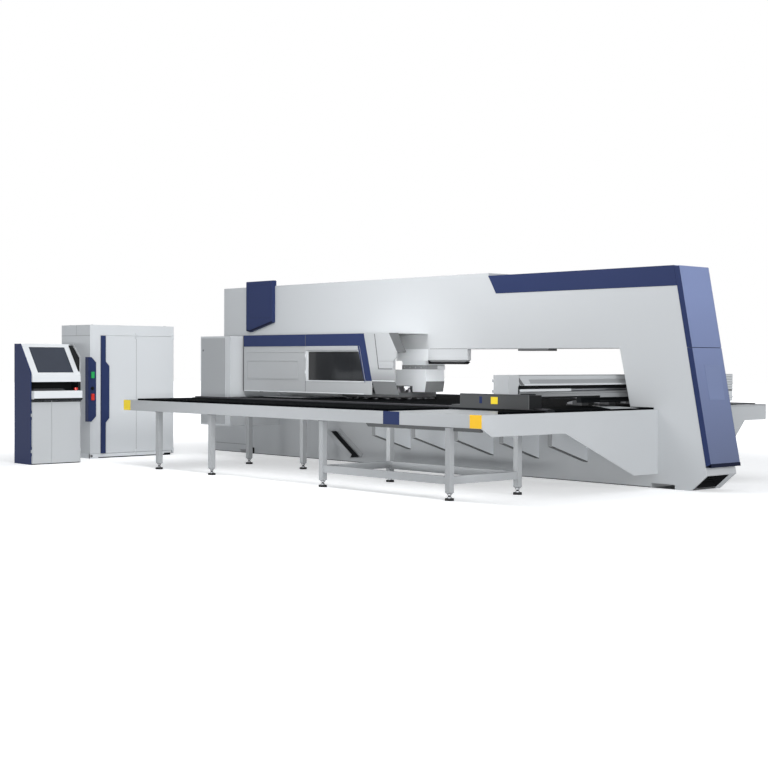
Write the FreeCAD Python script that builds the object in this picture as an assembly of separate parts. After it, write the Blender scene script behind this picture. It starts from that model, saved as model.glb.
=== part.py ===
"""Turret punch press: closed O-frame, turrets, servo head, tables, feed axes, console and cabinet.

Millimetres. X runs from the frame's centre plane to the near table, Y from the front end to the
rear end, Z up. The origin is on the floor, straight below the punch axis.
"""
import FreeCAD, Part
import math
import os

V = FreeCAD.Vector

# ---------------------------------------------------------------- frame
FRAME_W = 510.0            # width over the two side plates
FRAME_TOP = 2335.0
FRAME_FRONT = -3790.0      # front end of the upper beam
TOE_REACH = 265.0          # how far the foot stands in front of the beam
TOE_TOP = 1150.0
TOE_RISE = 200.0
REAR_TOP = 4045.0          # rear end of the frame at its top
REAR_LEAN = 11.3           # degrees from upright
REAR_CORNER_Z = 168.0
REAR_CHAMFER = 195.0       # run of the chamfer under the rear end
BEAM_UNDER = 1455.0        # top of the throat
BED_TOP = 560.0            # bottom of the throat
THROAT_FRONT = -1270.0
THROAT_REAR = 3363.0       # rear end of the throat under the beam
THROAT_LEAN = 13.1
POCKET_H = 48.0            # fork pockets through the foot
POCKET_W = 300.0
POCKET_YS = (3785.0, -3400.0)
VENT_NEAR = 22.0           # plate left round the opening in the rear chamfer: at the near side,
VENT_FAR = 110.0           # at the far side,
VENT_TOP = 12.0            # above it
VENT_FOOT = 35.0           # and below it
VENT_DEPTH = 260.0
VENT_OUT = 20.0            # the cutting tool starts this far outside the chamfer

# ---------------------------------------------------------------- outer covers of the frame
STRIPE_DROP = 37.0         # the blue top cover lies this much lower than the beam
STRIPE_H = 205.0
STRIPE_FRONT = 1442.0
STRIPE_SLANT = 122.0
SHEET = 5.0                # thickness of the folded covers
REAR_COVER_T = 65.0
REAR_COVER_SEAM = 1455.0
REAR_COVER_BOTTOM = 262.0
SEAM = 6.0
SIGN_FRONT = -3194.0
SIGN_L = 600.0
SIGN_T = 50.0
SIGN_RISE = 74.0           # the shield stands this far over the beam
SIGN_H = 705.0
SIGN_SLOPE = 128.0
SIGN_NOSE = 80.0
SIGN_LIP = 20.0            # the shield's hook reaches this far over the beam
SIGN_EDGE = 12.0

# ---------------------------------------------------------------- front side box and duct
SIDE_BOX_X = 1090.0
SIDE_BOX_FRONT = -3170.0
SIDE_BOX_L = 683.0
SIDE_BOX_Z0 = 430.0
SIDE_BOX_Z1 = 1630.0
DUCT_FRONT = 440.0
DUCT_L = 665.0
DUCT_H = 158.0
DUCT_SLANT = 50.0
DUCT_W = 60.0

# ---------------------------------------------------------------- turrets
STATIONS = 24
TURRET_R = 600.0
TRACK_R = 540.0            # from the turret's centre to the punch axis
PASS_Z = 848.0             # underside of the sheet
UPPER_Z = 858.0
UPPER_T = 60.0
LOWER_TOP = 826.0
LOWER_T = 68.0
HUB_R = 190.0
UPPER_HUB_TOP = 1030.0
LOWER_HUB_BOTTOM = 640.0
SHAFT_R = 80.0
FLANGE_R = 160.0
FLANGE_T = 30.0
COLLAR_R = 115.0
COLLAR_T = 12.0
COLLAR_LIFT = 2.0          # the collar lies this far above the disc's underside
HOLDER_R = 38.0
HOLDER_HEAD_R = 45.0
HOLDER_HEAD_T = 34.0
PUNCH_HEAD_R = 20.0
PUNCH_HEAD_T = 26.0
DIE_T = 34.0
DIE_BORE_R = 18.0
DRIVE_GAP = 65.0           # from the turret's rim to the drive shaft
PULLEY_R = 55.0
DRIVE_R = 30.0
PULLEY_T = 34.0
BELT_W = 26.0
BELT_T = 6.0
MOTOR_W = 124.0
MOTOR_H = 250.0
MOTOR_GROOVE_W = 12.0
MOTOR_GROOVE_D = 8.0
RUN_GAP = 0.05             # radial running clearance of shafts
GAP = 0.3                  # clearance between other moving pieces

# ---------------------------------------------------------------- punching head
HEAD_HALF_W = 160.0
HEAD_FRONT = -279.0
HEAD_REAR = 305.0
HEAD_PLATE_Z0 = 1200.0
HEAD_PLATE_Z1 = 1310.0
HEAD_PLATE_FRONT = -129.0
HANGER_FRONT = -130.0      # the hanger is as wide as the beam and ends at the cable duct
GROOVES = 3
GROOVE = 10.0
GUARD_FRONT_Z = 990.0      # the guard clears the turret here
GUARD_REAR_Z = 925.0
GUARD_STEP_Y = 65.0
GUARD_CHAMFER_Z = 1060.0
GUARD_CHAMFER = 25.0
GUARD_LEAN = 15.0          # the guard's rear face leans in above the chamfer
RAM_R = 50.0
RAM_STROKE = 37.0
RAM_TOP = 1700.0
RAM_PAD_R = 62.0
RAM_PAD_T = 20.0

# ---------------------------------------------------------------- turret covers
COVER_X = 900.0
COVER_T = 6.0
COVER_FRONT = -2441.0
COVER_TOP = 1640.0
COVER_BOTTOM = 899.0
BAND_BOTTOM = 1490.0
BAND_T = 3.0
COVER_REAR_TOP = -17.0     # rear edge of the cover at its top
COVER_REAR_LOW = 135.0     # and at the foot of the slant
SLANT_FOOT = 1066.0
DOOR_SPLIT = -1133.0       # front edge of the near tool door
FAR_COVER_REAR_TOP = -1610.0
FAR_COVER_REAR_LOW = -1470.0
DOOR_BOTTOM = 1046.0
DOOR_STILE = 56.0
DOOR_RAIL = 66.0
DOOR_SILL = 12.0
DOOR_T = 14.0
GLASS_T = 5.0
BAND_WIDTH_TOP = 117.0     # width of the slanted leg of the band
HINGE_R = 6.0
HINGE_L = 114.0
HINGE_PIN_R = 3.0
LEAF_W = 24.0
LEAF_T = 2.5
HINGE_INSET = 60.0         # from the top and the bottom of a door to its hinges
DOOR_GAP = 3.0
END_TOP_Y = 430.0
END_NOSE_Y = 575.0
END_NOSE_Z = 1415.0
END_NECK_Y = 507.0
END_NECK_Z = 1213.0
END_NOSE_H = 65.0          # height of the end's upright nose
END_NECK_H = 87.0
END_TAIL_DROP = 20.0
END_TAIL_Y = 543.0
END_LIP_W = 150.0
HATCH_T = 4.0
HATCH_INSET = 12.0
HATCH_TOP_BACK = 205.0     # from the cover's rear edge to the hatch, at its top
HATCH_LOW_BACK = 280.0
HATCH_TRIM = 4.0
SKIRT_IN = 60.0

# ---------------------------------------------------------------- tables
TABLE_X = 2891.0           # outer edge of the near table
FAR_TABLE_X = 1750.0       # outer edge of the far table
TABLE_FRONT = -2225.0
TABLE_REAR = 3869.0
TABLE_TOP = 817.0
TABLE_Z0 = 691.0
PLATE_T = 6.0
DECK_DROP = 2.0
DECK_T = 12.0
BRUSH_H = 21.0
BRUSH_PITCH = 152.0
BRUSH_W = 128.0
MAT_T = 5.0
BORDER = 45.0
BRUSH_FRONT = -1980.0      # the tables are plain in front of this line
CORNER_X = 271.0           # plain panel at the near rear corner, cut off aslant towards its rear
CORNER_Y0 = 2540.0
CORNER_Y1 = 3240.0
TURRET_WELL_R = 630.0
WING_Z_SHALLOW = 613.0
WING_Z_DEEP = 150.0
WING_TIP = 136.0           # run of the first slope at the near table's outer edge
WING_X_KNEE = 1725.0
WING_DIAGONAL = 1075.0     # run of the long slope, towards the frame
FAR_WING_Z = 665.0
FAR_WING_X_KNEE = 1331.0
FAR_WING_DIAGONAL = 515.0
WING_T = 12.0
LEG = 60.0
LEG_WALL_CUT = 14.0
LEG_Z0 = 62.0
LEG_INSET = 52.0           # from a table's outer edge to its outer legs
FRONT_LEG_X_IN = 1500.0
REAR_LEG_X_IN = 1895.0
FAR_LEG_X_IN = 950.0
FRONT_LEG_YS = (-1513.0, -430.0)
REAR_LEG_YS = (1551.0, 3405.0)
FOOT_R = 44.0
FOOT_T = 22.0
STEM_R = 13.0
SHELF_Z0 = 152.0
SHELF_Z1 = 228.0
SHELF_T = 40.0
SHELF_LEDGE = 70.0
BRACKET_Y0 = 138.0
BRACKET_PITCH = 700.0
BRACKETS = 5
BRACKET_T = 60.0
BRACKET_REACH = 590.0
BRACKET_Z_ROOT = 222.0
BRACKET_Z_TIP = 410.0
CHUTE_Y0 = -1242.0
CHUTE_Z0 = 378.0
CHUTE_Y1 = -785.0
CHUTE_Z1 = 66.0
CHUTE_W = 200.0
CHUTE_T = 6.0
CHUTE_LIP = 60.0

# ---------------------------------------------------------------- feed axes
GUIDE_X = 1880.0           # centre line of the near Y guide
FAR_GUIDE_X = 1580.0       # and of the far one
GUIDE_W = 160.0
GUIDE_H = 22.0
GUIDE_FRONT = -2100.0
GUIDE_REAR = 3800.0
RAIL_W = 50.0
RAIL_H = 14.0
SADDLE_W = 180.0
SADDLE_FRONT = 2679.0
SADDLE_REAR = 3619.0
SADDLE_TOP = 980.0
SADDLE_NOSE = 120.0        # wiper box in front of each saddle
SADDLE_NOSE_H = 18.0
BEAM_END = 70.0            # the beam stands out this far past the near guide's centre line
FAR_BEAM_END = 305.0
BEAM_FRONT = 3125.0
BEAM_D = 208.0
BEAM_TOP = 1173.0
BEAM_WEB_D = 150.0         # depth of the beam below its hood
HOOD_FLAT_D = 165.0
HOOD_OUT = 25.0            # the hood's lip stands out this far past the end blocks
HOOD_LIP_Z = 1068.0
HOOD_T = 14.0
BEAM_END_L = 146.0         # length of the block at each end of the beam
GROOVE_X = 6.0             # depth of the groove along the hood
SCREW_R = 16.0
TRAY_Z0 = 936.0            # underside of the cable tray below the beam
TRAY_CLEAR = 12.0          # from a saddle to the tray
X_RAIL_H = 30.0
X_RAIL_T = 20.0
CARRIAGE_HALF = 600.0
CARRIAGE_T = 60.0
CARRIAGE_Z0 = 872.0
CARRIAGE_Z1 = 1140.0
CLAMP_PITCH = 460.0
CLAMP_W = 110.0
CLAMP_L = 215.0
CLAMP_TOP = 893.0
CLAMP_BASE_L = 70.0
JAW_T = 8.0
SHEET_GAP = 5.0
PIVOT_R = 8.0
PIVOT_DROP = 25.0
PIVOT_Y = 30.0             # from the clamp's block to its pivot

# ---------------------------------------------------------------- console
CON_X0 = 3000.0
CON_X1 = 3700.0
CON_FRONT = -3076.0        # face with the doors
CON_D = 418.0
CON_H = 1505.0
CON_TOP_D = 150.0
CON_KNEE_Z = 1150.0
CHEEK_TOP_D = 250.0      # the far side plate stands out in front of the sloping face
CHEEK_KNEE_Z = 1335.0
CON_SIDE_T = 14.0
CON_DOOR_Z0 = 22.0
CON_DOOR_Z1 = 780.0
CON_DOOR_T = 18.0
CON_DOOR_LAP = 10.0
CON_SPLIT_X = 3417.0       # line between the doors
CON_HINGE_ZS = (110.0, 560.0)
SHELF_LIP_Z0 = 814.0
SHELF_LIP_Z1 = 917.0
SHELF_LIP_OUT = 70.0
KEY_RECESS_Z1 = 1028.0
KEY_RECESS_D = 190.0
CON_HOOD_OUT = 24.0        # the hood stands out this far in front of the carcass
SCREEN_W = 500.0
SCREEN_H = 400.0
SCREEN_MARGIN = 51.0       # from the top of the slope to the screen
SCREEN_T = 14.0
KEYBOARD_L = 430.0
KEYBOARD_D = 130.0
KEYBOARD_H = 20.0
STOP_R = 24.0
STOP_H = 30.0
STOP_STEM_R = 12.0
STOP_TRAVEL = 6.0

# ---------------------------------------------------------------- control cabinet
CAB_X0 = 1245.0
CAB_X1 = 2557.0
CAB_FRONT = -3600.0        # face with the doors
CAB_D = 745.0
CAB_TOP = 1770.0
CAB_SEAM_Z = 1628.0
CAB_PLINTH = 60.0
CAB_WALL = 20.0
CAB_DOOR_T = 22.0
CAB_SPLIT_X = 1845.0
PIVOT_IN = 9.0             # from a door's edge to its pins
STRIP_X0 = 2332.0
STRIP_W = 64.0
STRIP_T = 24.0
STRIP_BULGE = 54.0
BULGE_Z0 = 533.0
BULGE_Z1 = 1225.0
BULGE_SLOPE = 60.0
PANEL_X0 = 2485.0
PANEL_PROUD = 45.0
PANEL_Z0 = 490.0
PANEL_Z1 = 1343.0
PANEL_T = 34.0
PANEL_CUT = 70.0
BUTTON_W = 46.0
BUTTON_H = 84.0
BUTTON_T = 14.0
BUTTON_TRAVEL = 5.0
BUTTON_LIFT = 1.0          # what is left under a pressed button
GREEN_Z = 1106.0
RED_Z = 816.0
SWITCH_Z = 930.0
SWITCH_R = 22.0
SWITCH_T = 26.0
STEM = 8.0

# ---------------------------------------------------------------- worked-out values
HALF = FRAME_W / 2
LEAN = math.tan(math.radians(REAR_LEAN))
T_LEAN = math.tan(math.radians(THROAT_LEAN))
TURRET_Y = -TRACK_R
DRIVE_Y = TURRET_Y - TURRET_R - DRIVE_GAP
TOOL_TOP = UPPER_Z + UPPER_T + HOLDER_HEAD_T + PUNCH_HEAD_T
DECK_TOP = TABLE_TOP - DECK_DROP
BRUSH_TOP = DECK_TOP + BRUSH_H
GUIDE_Z1 = DECK_TOP + GUIDE_H
RAIL_Z1 = GUIDE_Z1 + RAIL_H
BEAM_REAR = BEAM_FRONT + BEAM_D
BEAM_X0 = -FAR_GUIDE_X - FAR_BEAM_END
BEAM_X1 = GUIDE_X + BEAM_END
JAW_LOW = PASS_Z + SHEET_GAP
CLAMP_XS = (-CLAMP_PITCH, 0.0, CLAMP_PITCH)
CENTRE_FRONT = TURRET_Y + TURRET_WELL_R + DECK_T


# ---------------------------------------------------------------- helpers
def box(x0, y0, z0, x1, y1, z1):
    """A block between two corners."""
    return Part.makeBox(x1 - x0, y1 - y0, z1 - z0, V(x0, y0, z0))


def prism(points, span):
    """A flat outline swept along the vector span."""
    return Part.Face(Part.makePolygon(points + points[:1])).extrude(span)


def prism_yz(outline, x0, x1):
    """An outline of (y, z) points, swept from x0 to x1."""
    return prism([V(x0, y, z) for y, z in outline], V(x1 - x0, 0, 0))


def prism_xz(outline, y0, y1):
    """An outline of (x, z) points, swept from y0 to y1."""
    return prism([V(x, y0, z) for x, z in outline], V(0, y1 - y0, 0))


def rod(x, y, z, r, h):
    """An upright cylinder whose foot is at z."""
    return Part.makeCylinder(r, h, V(x, y, z))


def rod_y(x, y, z, r, h):
    """A cylinder along Y."""
    return Part.makeCylinder(r, h, V(x, y, z), V(0, 1, 0))


def rod_x(x, y, z, r, h):
    """A cylinder along X."""
    return Part.makeCylinder(r, h, V(x, y, z), V(1, 0, 0))


def join(shapes):
    """One solid from several that touch."""
    body = shapes[0]
    for other in shapes[1:]:
        body = body.fuse(other)
    return body.removeSplitter()


def group(shapes):
    """Separate solids in one node."""
    return Part.makeCompound(shapes)


def far(shape):
    """The same piece on the other side of the frame."""
    return shape.mirror(V(0, 0, 0), V(1, 0, 0))


def both(make, near_value, far_value):
    """A piece on each side of the frame, made from a value for each side."""
    return group([make(near_value), far(make(far_value))])


def rear_y(z):
    """Y of the leaning rear face of the frame at height z."""
    return REAR_TOP + (FRAME_TOP - z) * LEAN


def throat_y(z):
    """Y of the leaning rear wall of the throat at height z."""
    return THROAT_REAR + (BEAM_UNDER - z) * T_LEAN


def cover_rear_y(z):
    """Y of the slanted rear edge of the turret covers at height z."""
    share = (COVER_TOP - z) / (COVER_TOP - SLANT_FOOT)
    return COVER_REAR_TOP + (COVER_REAR_LOW - COVER_REAR_TOP) * share


# ---------------------------------------------------------------- frame and its covers
def main_frame():
    """Welded O-frame with its throat, fork pockets, rear vent and ram pocket."""
    toe = FRAME_FRONT - TOE_REACH
    chamfer_y = rear_y(REAR_CORNER_Z)
    outline = [
        (toe, 0), (chamfer_y - REAR_CHAMFER, 0), (chamfer_y, REAR_CORNER_Z),
        (rear_y(FRAME_TOP - STRIPE_DROP), FRAME_TOP - STRIPE_DROP),
        (STRIPE_FRONT, FRAME_TOP - STRIPE_DROP), (STRIPE_FRONT, FRAME_TOP),
        (FRAME_FRONT, FRAME_TOP), (FRAME_FRONT, TOE_TOP + TOE_RISE), (toe, TOE_TOP),
    ]
    throat = [
        (THROAT_FRONT, BED_TOP), (throat_y(BED_TOP), BED_TOP),
        (throat_y(BEAM_UNDER), BEAM_UNDER), (THROAT_FRONT, BEAM_UNDER),
    ]
    body = prism_yz(outline, -HALF, HALF)
    body = body.cut(prism_yz(throat, -FRAME_W, FRAME_W))
    for y in POCKET_YS:
        body = body.cut(box(-FRAME_W, y, -1, FRAME_W, y + POCKET_W, POCKET_H))
    body = body.cut(rear_vent(chamfer_y))
    return body.cut(rod(0, 0, BEAM_UNDER - 1, RAM_R + 2, RAM_TOP + RAM_PAD_T - BEAM_UNDER))


def rear_vent(corner_y):
    """The opening in the chamfer, square to the chamfer's face."""
    length = math.hypot(REAR_CHAMFER, REAR_CORNER_Z)
    along = (-REAR_CHAMFER / length, -REAR_CORNER_Z / length)
    inward = (-REAR_CORNER_Z / length, REAR_CHAMFER / length)
    corners = ((VENT_TOP, -VENT_OUT), (length - VENT_FOOT, -VENT_OUT),
               (length - VENT_FOOT, VENT_DEPTH), (VENT_TOP, VENT_DEPTH))
    points = [(corner_y + along[0] * down + inward[0] * deep,
               REAR_CORNER_Z + along[1] * down + inward[1] * deep) for down, deep in corners]
    return prism_yz(points, -HALF + VENT_FAR, HALF - VENT_NEAR)


def beam_stripe():
    """Folded cover over the rear part of the beam, with a slanted front end."""
    top = FRAME_TOP - STRIPE_DROP
    low = top - STRIPE_H
    side = [
        (STRIPE_FRONT, top), (rear_y(top), top), (rear_y(low), low),
        (STRIPE_FRONT + STRIPE_SLANT, low),
    ]
    near = prism_yz(side, HALF, HALF + SHEET)
    lid = box(-HALF - SHEET, STRIPE_FRONT, top, HALF + SHEET, rear_y(top), top + SHEET)
    return join([lid, near, far(near)])


def rear_cover(z0, z1):
    """One shallow tray on the leaning rear face."""
    outline = [
        (rear_y(z0), z0), (rear_y(z0) + REAR_COVER_T, z0),
        (rear_y(z1) + REAR_COVER_T, z1), (rear_y(z1), z1),
    ]
    hollow = [
        (rear_y(z0 + SHEET) - SHEET, z0 + SHEET), (rear_y(z0 + SHEET) + REAR_COVER_T - SHEET, z0 + SHEET),
        (rear_y(z1 - SHEET) + REAR_COVER_T - SHEET, z1 - SHEET), (rear_y(z1 - SHEET) - SHEET, z1 - SHEET),
    ]
    shell = prism_yz(outline, -HALF, HALF)
    return shell.cut(prism_yz(hollow, -HALF + SHEET, HALF - SHEET))


def sign_plate():
    """Navy shield on the near side of the beam, hooked over its top edge and cut slanting below."""
    rear = SIGN_FRONT + SIGN_L
    top = FRAME_TOP + SIGN_RISE
    low = top - SIGN_H
    outline = [
        (SIGN_FRONT, top), (rear, top), (rear, low + SIGN_SLOPE), (SIGN_FRONT + SIGN_NOSE, low),
        (SIGN_FRONT, low + SIGN_NOSE / 4),
    ]
    shield = join([prism_yz(outline, HALF, HALF + SIGN_T),
                   box(HALF - SIGN_LIP, SIGN_FRONT, FRAME_TOP, HALF, rear, top)])
    ridges = [e for e in shield.Edges
              if all(abs(v.Point.z - top) < 1 for v in e.Vertexes) and e.Length > SIGN_L / 2]
    return shield.makeFillet(SIGN_EDGE, ridges)


def front_box():
    """Side housing at the front end, with a raised door on its outer face."""
    rear = SIDE_BOX_FRONT + SIDE_BOX_L
    body = box(HALF, SIDE_BOX_FRONT, SIDE_BOX_Z0, SIDE_BOX_X, rear, SIDE_BOX_Z1)
    hollow = box(HALF - 1, SIDE_BOX_FRONT + SHEET, SIDE_BOX_Z0 + SHEET,
                 SIDE_BOX_X - SHEET, rear - SHEET, SIDE_BOX_Z1 - SHEET)
    return body.cut(hollow)


def beam_duct():
    """Flat cable duct that hangs below the beam's near side, behind the punching head."""
    z0 = BEAM_UNDER - DUCT_H
    rear = DUCT_FRONT + DUCT_L
    side = [(DUCT_FRONT, BEAM_UNDER), (DUCT_FRONT, z0 + DUCT_SLANT / 2), (DUCT_FRONT + DUCT_SLANT / 2, z0),
            (rear - DUCT_SLANT, z0), (rear, z0 + DUCT_SLANT / 2), (rear, BEAM_UNDER)]
    section = [(HALF - DUCT_W, BEAM_UNDER), (HALF, BEAM_UNDER), (HALF, z0 + DUCT_SLANT / 2),
               (HALF - DUCT_W / 2, z0), (HALF - DUCT_W, z0)]
    body = prism_yz(side, HALF - DUCT_W, HALF).common(prism_xz(section, DUCT_FRONT, rear))
    inner = box(HALF - DUCT_W + SHEET, DUCT_FRONT + SHEET + DUCT_SLANT / 2, z0 + DUCT_SLANT / 2,
                HALF - SHEET, rear - SHEET - DUCT_SLANT, BEAM_UNDER - SHEET)
    return body.cut(inner)


# ---------------------------------------------------------------- turrets and their drive
def station_angles():
    """Angles of the tool stations; the first one lies on the punch axis."""
    return [math.pi / 2 + 2 * math.pi * i / STATIONS for i in range(STATIONS)]


def at_stations(make):
    """Copies of a piece, one at each station."""
    return [make(TRACK_R * math.cos(a), TURRET_Y + TRACK_R * math.sin(a)) for a in station_angles()]


def upper_turret():
    """Disc with hub, shaft bore, counterbore for the collar and tool bores."""
    top = UPPER_Z + UPPER_T
    body = rod(0, TURRET_Y, UPPER_Z, TURRET_R, UPPER_T).fuse(
        rod(0, TURRET_Y, top, HUB_R, UPPER_HUB_TOP - top))
    holes = [rod(0, TURRET_Y, UPPER_Z - 1, SHAFT_R + RUN_GAP, UPPER_HUB_TOP - UPPER_Z + 2),
             rod(0, TURRET_Y, UPPER_Z - 1, COLLAR_R + 2, COLLAR_LIFT + COLLAR_T + GAP + 1)]
    holes += at_stations(lambda x, y: rod(x, y, UPPER_Z - 1, HOLDER_R, UPPER_T + 2))
    return body.cut(group(holes))


def upper_tools():
    """Punch holders in the upper turret, each with its head and punch."""
    top = UPPER_Z + UPPER_T

    def holder(x, y):
        return join([rod(x, y, UPPER_Z, HOLDER_R, UPPER_T),
                     rod(x, y, top, HOLDER_HEAD_R, HOLDER_HEAD_T),
                     rod(x, y, top + HOLDER_HEAD_T, PUNCH_HEAD_R, PUNCH_HEAD_T)])
    return group(at_stations(holder))


def lower_turret():
    """Die disc with its hub below and a blind shaft bore."""
    bottom = LOWER_TOP - LOWER_T
    body = rod(0, TURRET_Y, bottom, TURRET_R, LOWER_T).fuse(
        rod(0, TURRET_Y, LOWER_HUB_BOTTOM, HUB_R, bottom - LOWER_HUB_BOTTOM))
    holes = [rod(0, TURRET_Y, LOWER_HUB_BOTTOM - 1, SHAFT_R + RUN_GAP, bottom - LOWER_HUB_BOTTOM + 1)]
    holes += at_stations(lambda x, y: rod(x, y, LOWER_TOP - DIE_T, HOLDER_R, DIE_T + 1))
    holes += at_stations(lambda x, y: rod(x, y, bottom - 1, DIE_BORE_R, LOWER_T))
    return body.cut(group(holes))


def lower_dies():
    """Dies seated in the lower turret, flush with the sheet plane."""
    def die(x, y):
        height = DIE_T + PASS_Z - LOWER_TOP - 2
        return rod(x, y, LOWER_TOP - DIE_T, HOLDER_R, height).cut(
            rod(x, y, LOWER_TOP - DIE_T - 1, DIE_BORE_R, height + 2))
    return group(at_stations(die))


def turret_shafts():
    """Fixed shafts with flanges on the beam and on the bed."""
    z0 = UPPER_Z + COLLAR_LIFT
    upper = join([rod(0, TURRET_Y, z0, COLLAR_R, COLLAR_T),
                  rod(0, TURRET_Y, z0, SHAFT_R, BEAM_UNDER - z0),
                  rod(0, TURRET_Y, BEAM_UNDER - FLANGE_T, FLANGE_R, FLANGE_T)])
    bore_top = LOWER_TOP - LOWER_T
    lower = join([rod(0, TURRET_Y, BED_TOP, FLANGE_R, FLANGE_T),
                  rod(0, TURRET_Y, BED_TOP, COLLAR_R, LOWER_HUB_BOTTOM - GAP - BED_TOP),
                  rod(0, TURRET_Y, BED_TOP, SHAFT_R, bore_top - GAP - BED_TOP)])
    return group([upper, lower])


def turret_drive():
    """Upright drive shaft with one pulley for each turret."""
    z0 = BED_TOP + FLANGE_T
    z1 = BEAM_UNDER - MOTOR_H
    return join([rod(0, DRIVE_Y, z0 + GAP, DRIVE_R, z1 - z0 - 2 * GAP)]
                + [rod(0, DRIVE_Y, z, PULLEY_R, PULLEY_T) for z in pulley_zs()])


def pulley_zs():
    """Heights of the lower and the upper pulley."""
    return (LOWER_HUB_BOTTOM + PULLEY_T / 2, TOOL_TOP + PULLEY_T / 2)


def belt(z):
    """Flat belt round a turret hub and a pulley, with straight sides tangent to both."""
    big, small = HUB_R + GAP, PULLEY_R + GAP
    reach = TURRET_Y - DRIVE_Y
    lean = math.asin((big - small) / reach)

    def loop(extra):
        r0, r1 = big + extra, small + extra
        s, c = math.sin(lean), math.cos(lean)
        pts = [(r0 * c, TURRET_Y - r0 * s), (-r0 * c, TURRET_Y - r0 * s),
               (-r1 * c, DRIVE_Y - r1 * s), (r1 * c, DRIVE_Y - r1 * s)]
        a, b, d, e = [V(x, y, z) for x, y in pts]
        edges = [Part.Arc(a, V(0, TURRET_Y + r0, z), b).toShape(), Part.LineSegment(b, d).toShape(),
                 Part.Arc(d, V(0, DRIVE_Y - r1, z), e).toShape(), Part.LineSegment(e, a).toShape()]
        return Part.Face(Part.Wire(edges))
    return loop(BELT_T).cut(loop(0)).extrude(V(0, 0, BELT_W))


def turret_belts():
    """The two belts, level with their pulleys."""
    return group([belt(z + (PULLEY_T - BELT_W) / 2) for z in pulley_zs()])


def turret_motor():
    """Motor below the beam and the footstep bearing on the bed."""
    half = MOTOR_W / 2
    z0 = BEAM_UNDER - MOTOR_H
    motor = box(-half, DRIVE_Y - half, z0, half, DRIVE_Y + half, BEAM_UNDER)
    for i in range(4):
        z = z0 + MOTOR_H * (0.3 + 0.14 * i)
        ring = box(-half - 1, DRIVE_Y - half - 1, z, half + 1, DRIVE_Y + half + 1, z + MOTOR_GROOVE_W)
        core = half - MOTOR_GROOVE_D
        motor = motor.cut(ring.cut(box(-core, DRIVE_Y - core, z, core, DRIVE_Y + core, z + MOTOR_GROOVE_W)))
    bearing = rod(0, DRIVE_Y, BED_TOP, PULLEY_R, FLANGE_T)
    return group([motor, bearing])


# ---------------------------------------------------------------- punching head
def ram_housing():
    """Hanger and grooved plate that guide the ram."""
    hanger = box(-HALF, HANGER_FRONT, HEAD_PLATE_Z1, HALF, DUCT_FRONT, BEAM_UNDER)
    plate = box(-HEAD_HALF_W, HEAD_PLATE_FRONT, HEAD_PLATE_Z0, HEAD_HALF_W, HEAD_REAR, HEAD_PLATE_Z1)
    pitch = (HEAD_PLATE_Z1 - HEAD_PLATE_Z0) / (GROOVES + 1)
    for i in range(GROOVES):
        z = HEAD_PLATE_Z0 + pitch * (i + 1) - GROOVE / 2
        ring = box(-HEAD_HALF_W - 1, HEAD_PLATE_FRONT - 1, z, HEAD_HALF_W + 1, HEAD_REAR + 1, z + GROOVE)
        core = box(-HEAD_HALF_W + GROOVE, HEAD_PLATE_FRONT + GROOVE, z,
                   HEAD_HALF_W - GROOVE, HEAD_REAR - GROOVE, z + GROOVE)
        plate = plate.cut(ring.cut(core))
    return join([hanger, plate]).cut(
        rod(0, 0, HEAD_PLATE_Z0 - 1, RAM_R + RUN_GAP, BEAM_UNDER - HEAD_PLATE_Z0 + 2))


def head_guard():
    """Sheet guard round the ram, raised where the turret passes below it."""
    outline = [
        (HEAD_FRONT, GUARD_FRONT_Z), (GUARD_STEP_Y, GUARD_FRONT_Z), (GUARD_STEP_Y, GUARD_REAR_Z),
        (HEAD_REAR - GUARD_CHAMFER, GUARD_REAR_Z), (HEAD_REAR, GUARD_CHAMFER_Z),
        (HEAD_REAR - GUARD_LEAN, HEAD_PLATE_Z0), (HEAD_FRONT, HEAD_PLATE_Z0),
    ]
    body = prism_yz(outline, -HEAD_HALF_W, HEAD_HALF_W)
    inner_rear = HEAD_REAR - GUARD_CHAMFER - SHEET
    hollow = box(-HEAD_HALF_W + SHEET, HEAD_FRONT + SHEET, GUARD_REAR_Z - 1,
                 HEAD_HALF_W - SHEET, inner_rear, HEAD_PLATE_Z0 - SHEET)
    return body.cut(hollow).cut(rod(0, 0, HEAD_PLATE_Z0 - SHEET - 1, RAM_R + 2, SHEET + 2))


def ram():
    """Ram with its striker pad, above the tool head by one stroke."""
    z0 = TOOL_TOP + GAP + RAM_STROKE
    return join([rod(0, 0, z0, RAM_PAD_R, RAM_PAD_T), rod(0, 0, z0, RAM_R, RAM_TOP - z0)])


# ---------------------------------------------------------------- turret covers
def door_outline(split):
    """Opening for a tool door; its rear edge follows the slanted band."""
    low_y = cover_rear_y(DOOR_BOTTOM) - BAND_WIDTH_TOP - SHEET
    top_y = cover_rear_y(BAND_BOTTOM) - BAND_WIDTH_TOP - SHEET
    return [(split, DOOR_BOTTOM), (low_y, DOOR_BOTTOM), (top_y, BAND_BOTTOM), (split, BAND_BOTTOM)]


def inset(outline, front, bottom, rear, top):
    """A smaller copy of a door outline."""
    (y0, z0), (y1, _), (y2, z1), _ = outline
    return [(y0 + front, z0 + bottom), (y1 - rear, z0 + bottom),
            (y2 - rear, z1 - top), (y0 + front, z1 - top)]


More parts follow.
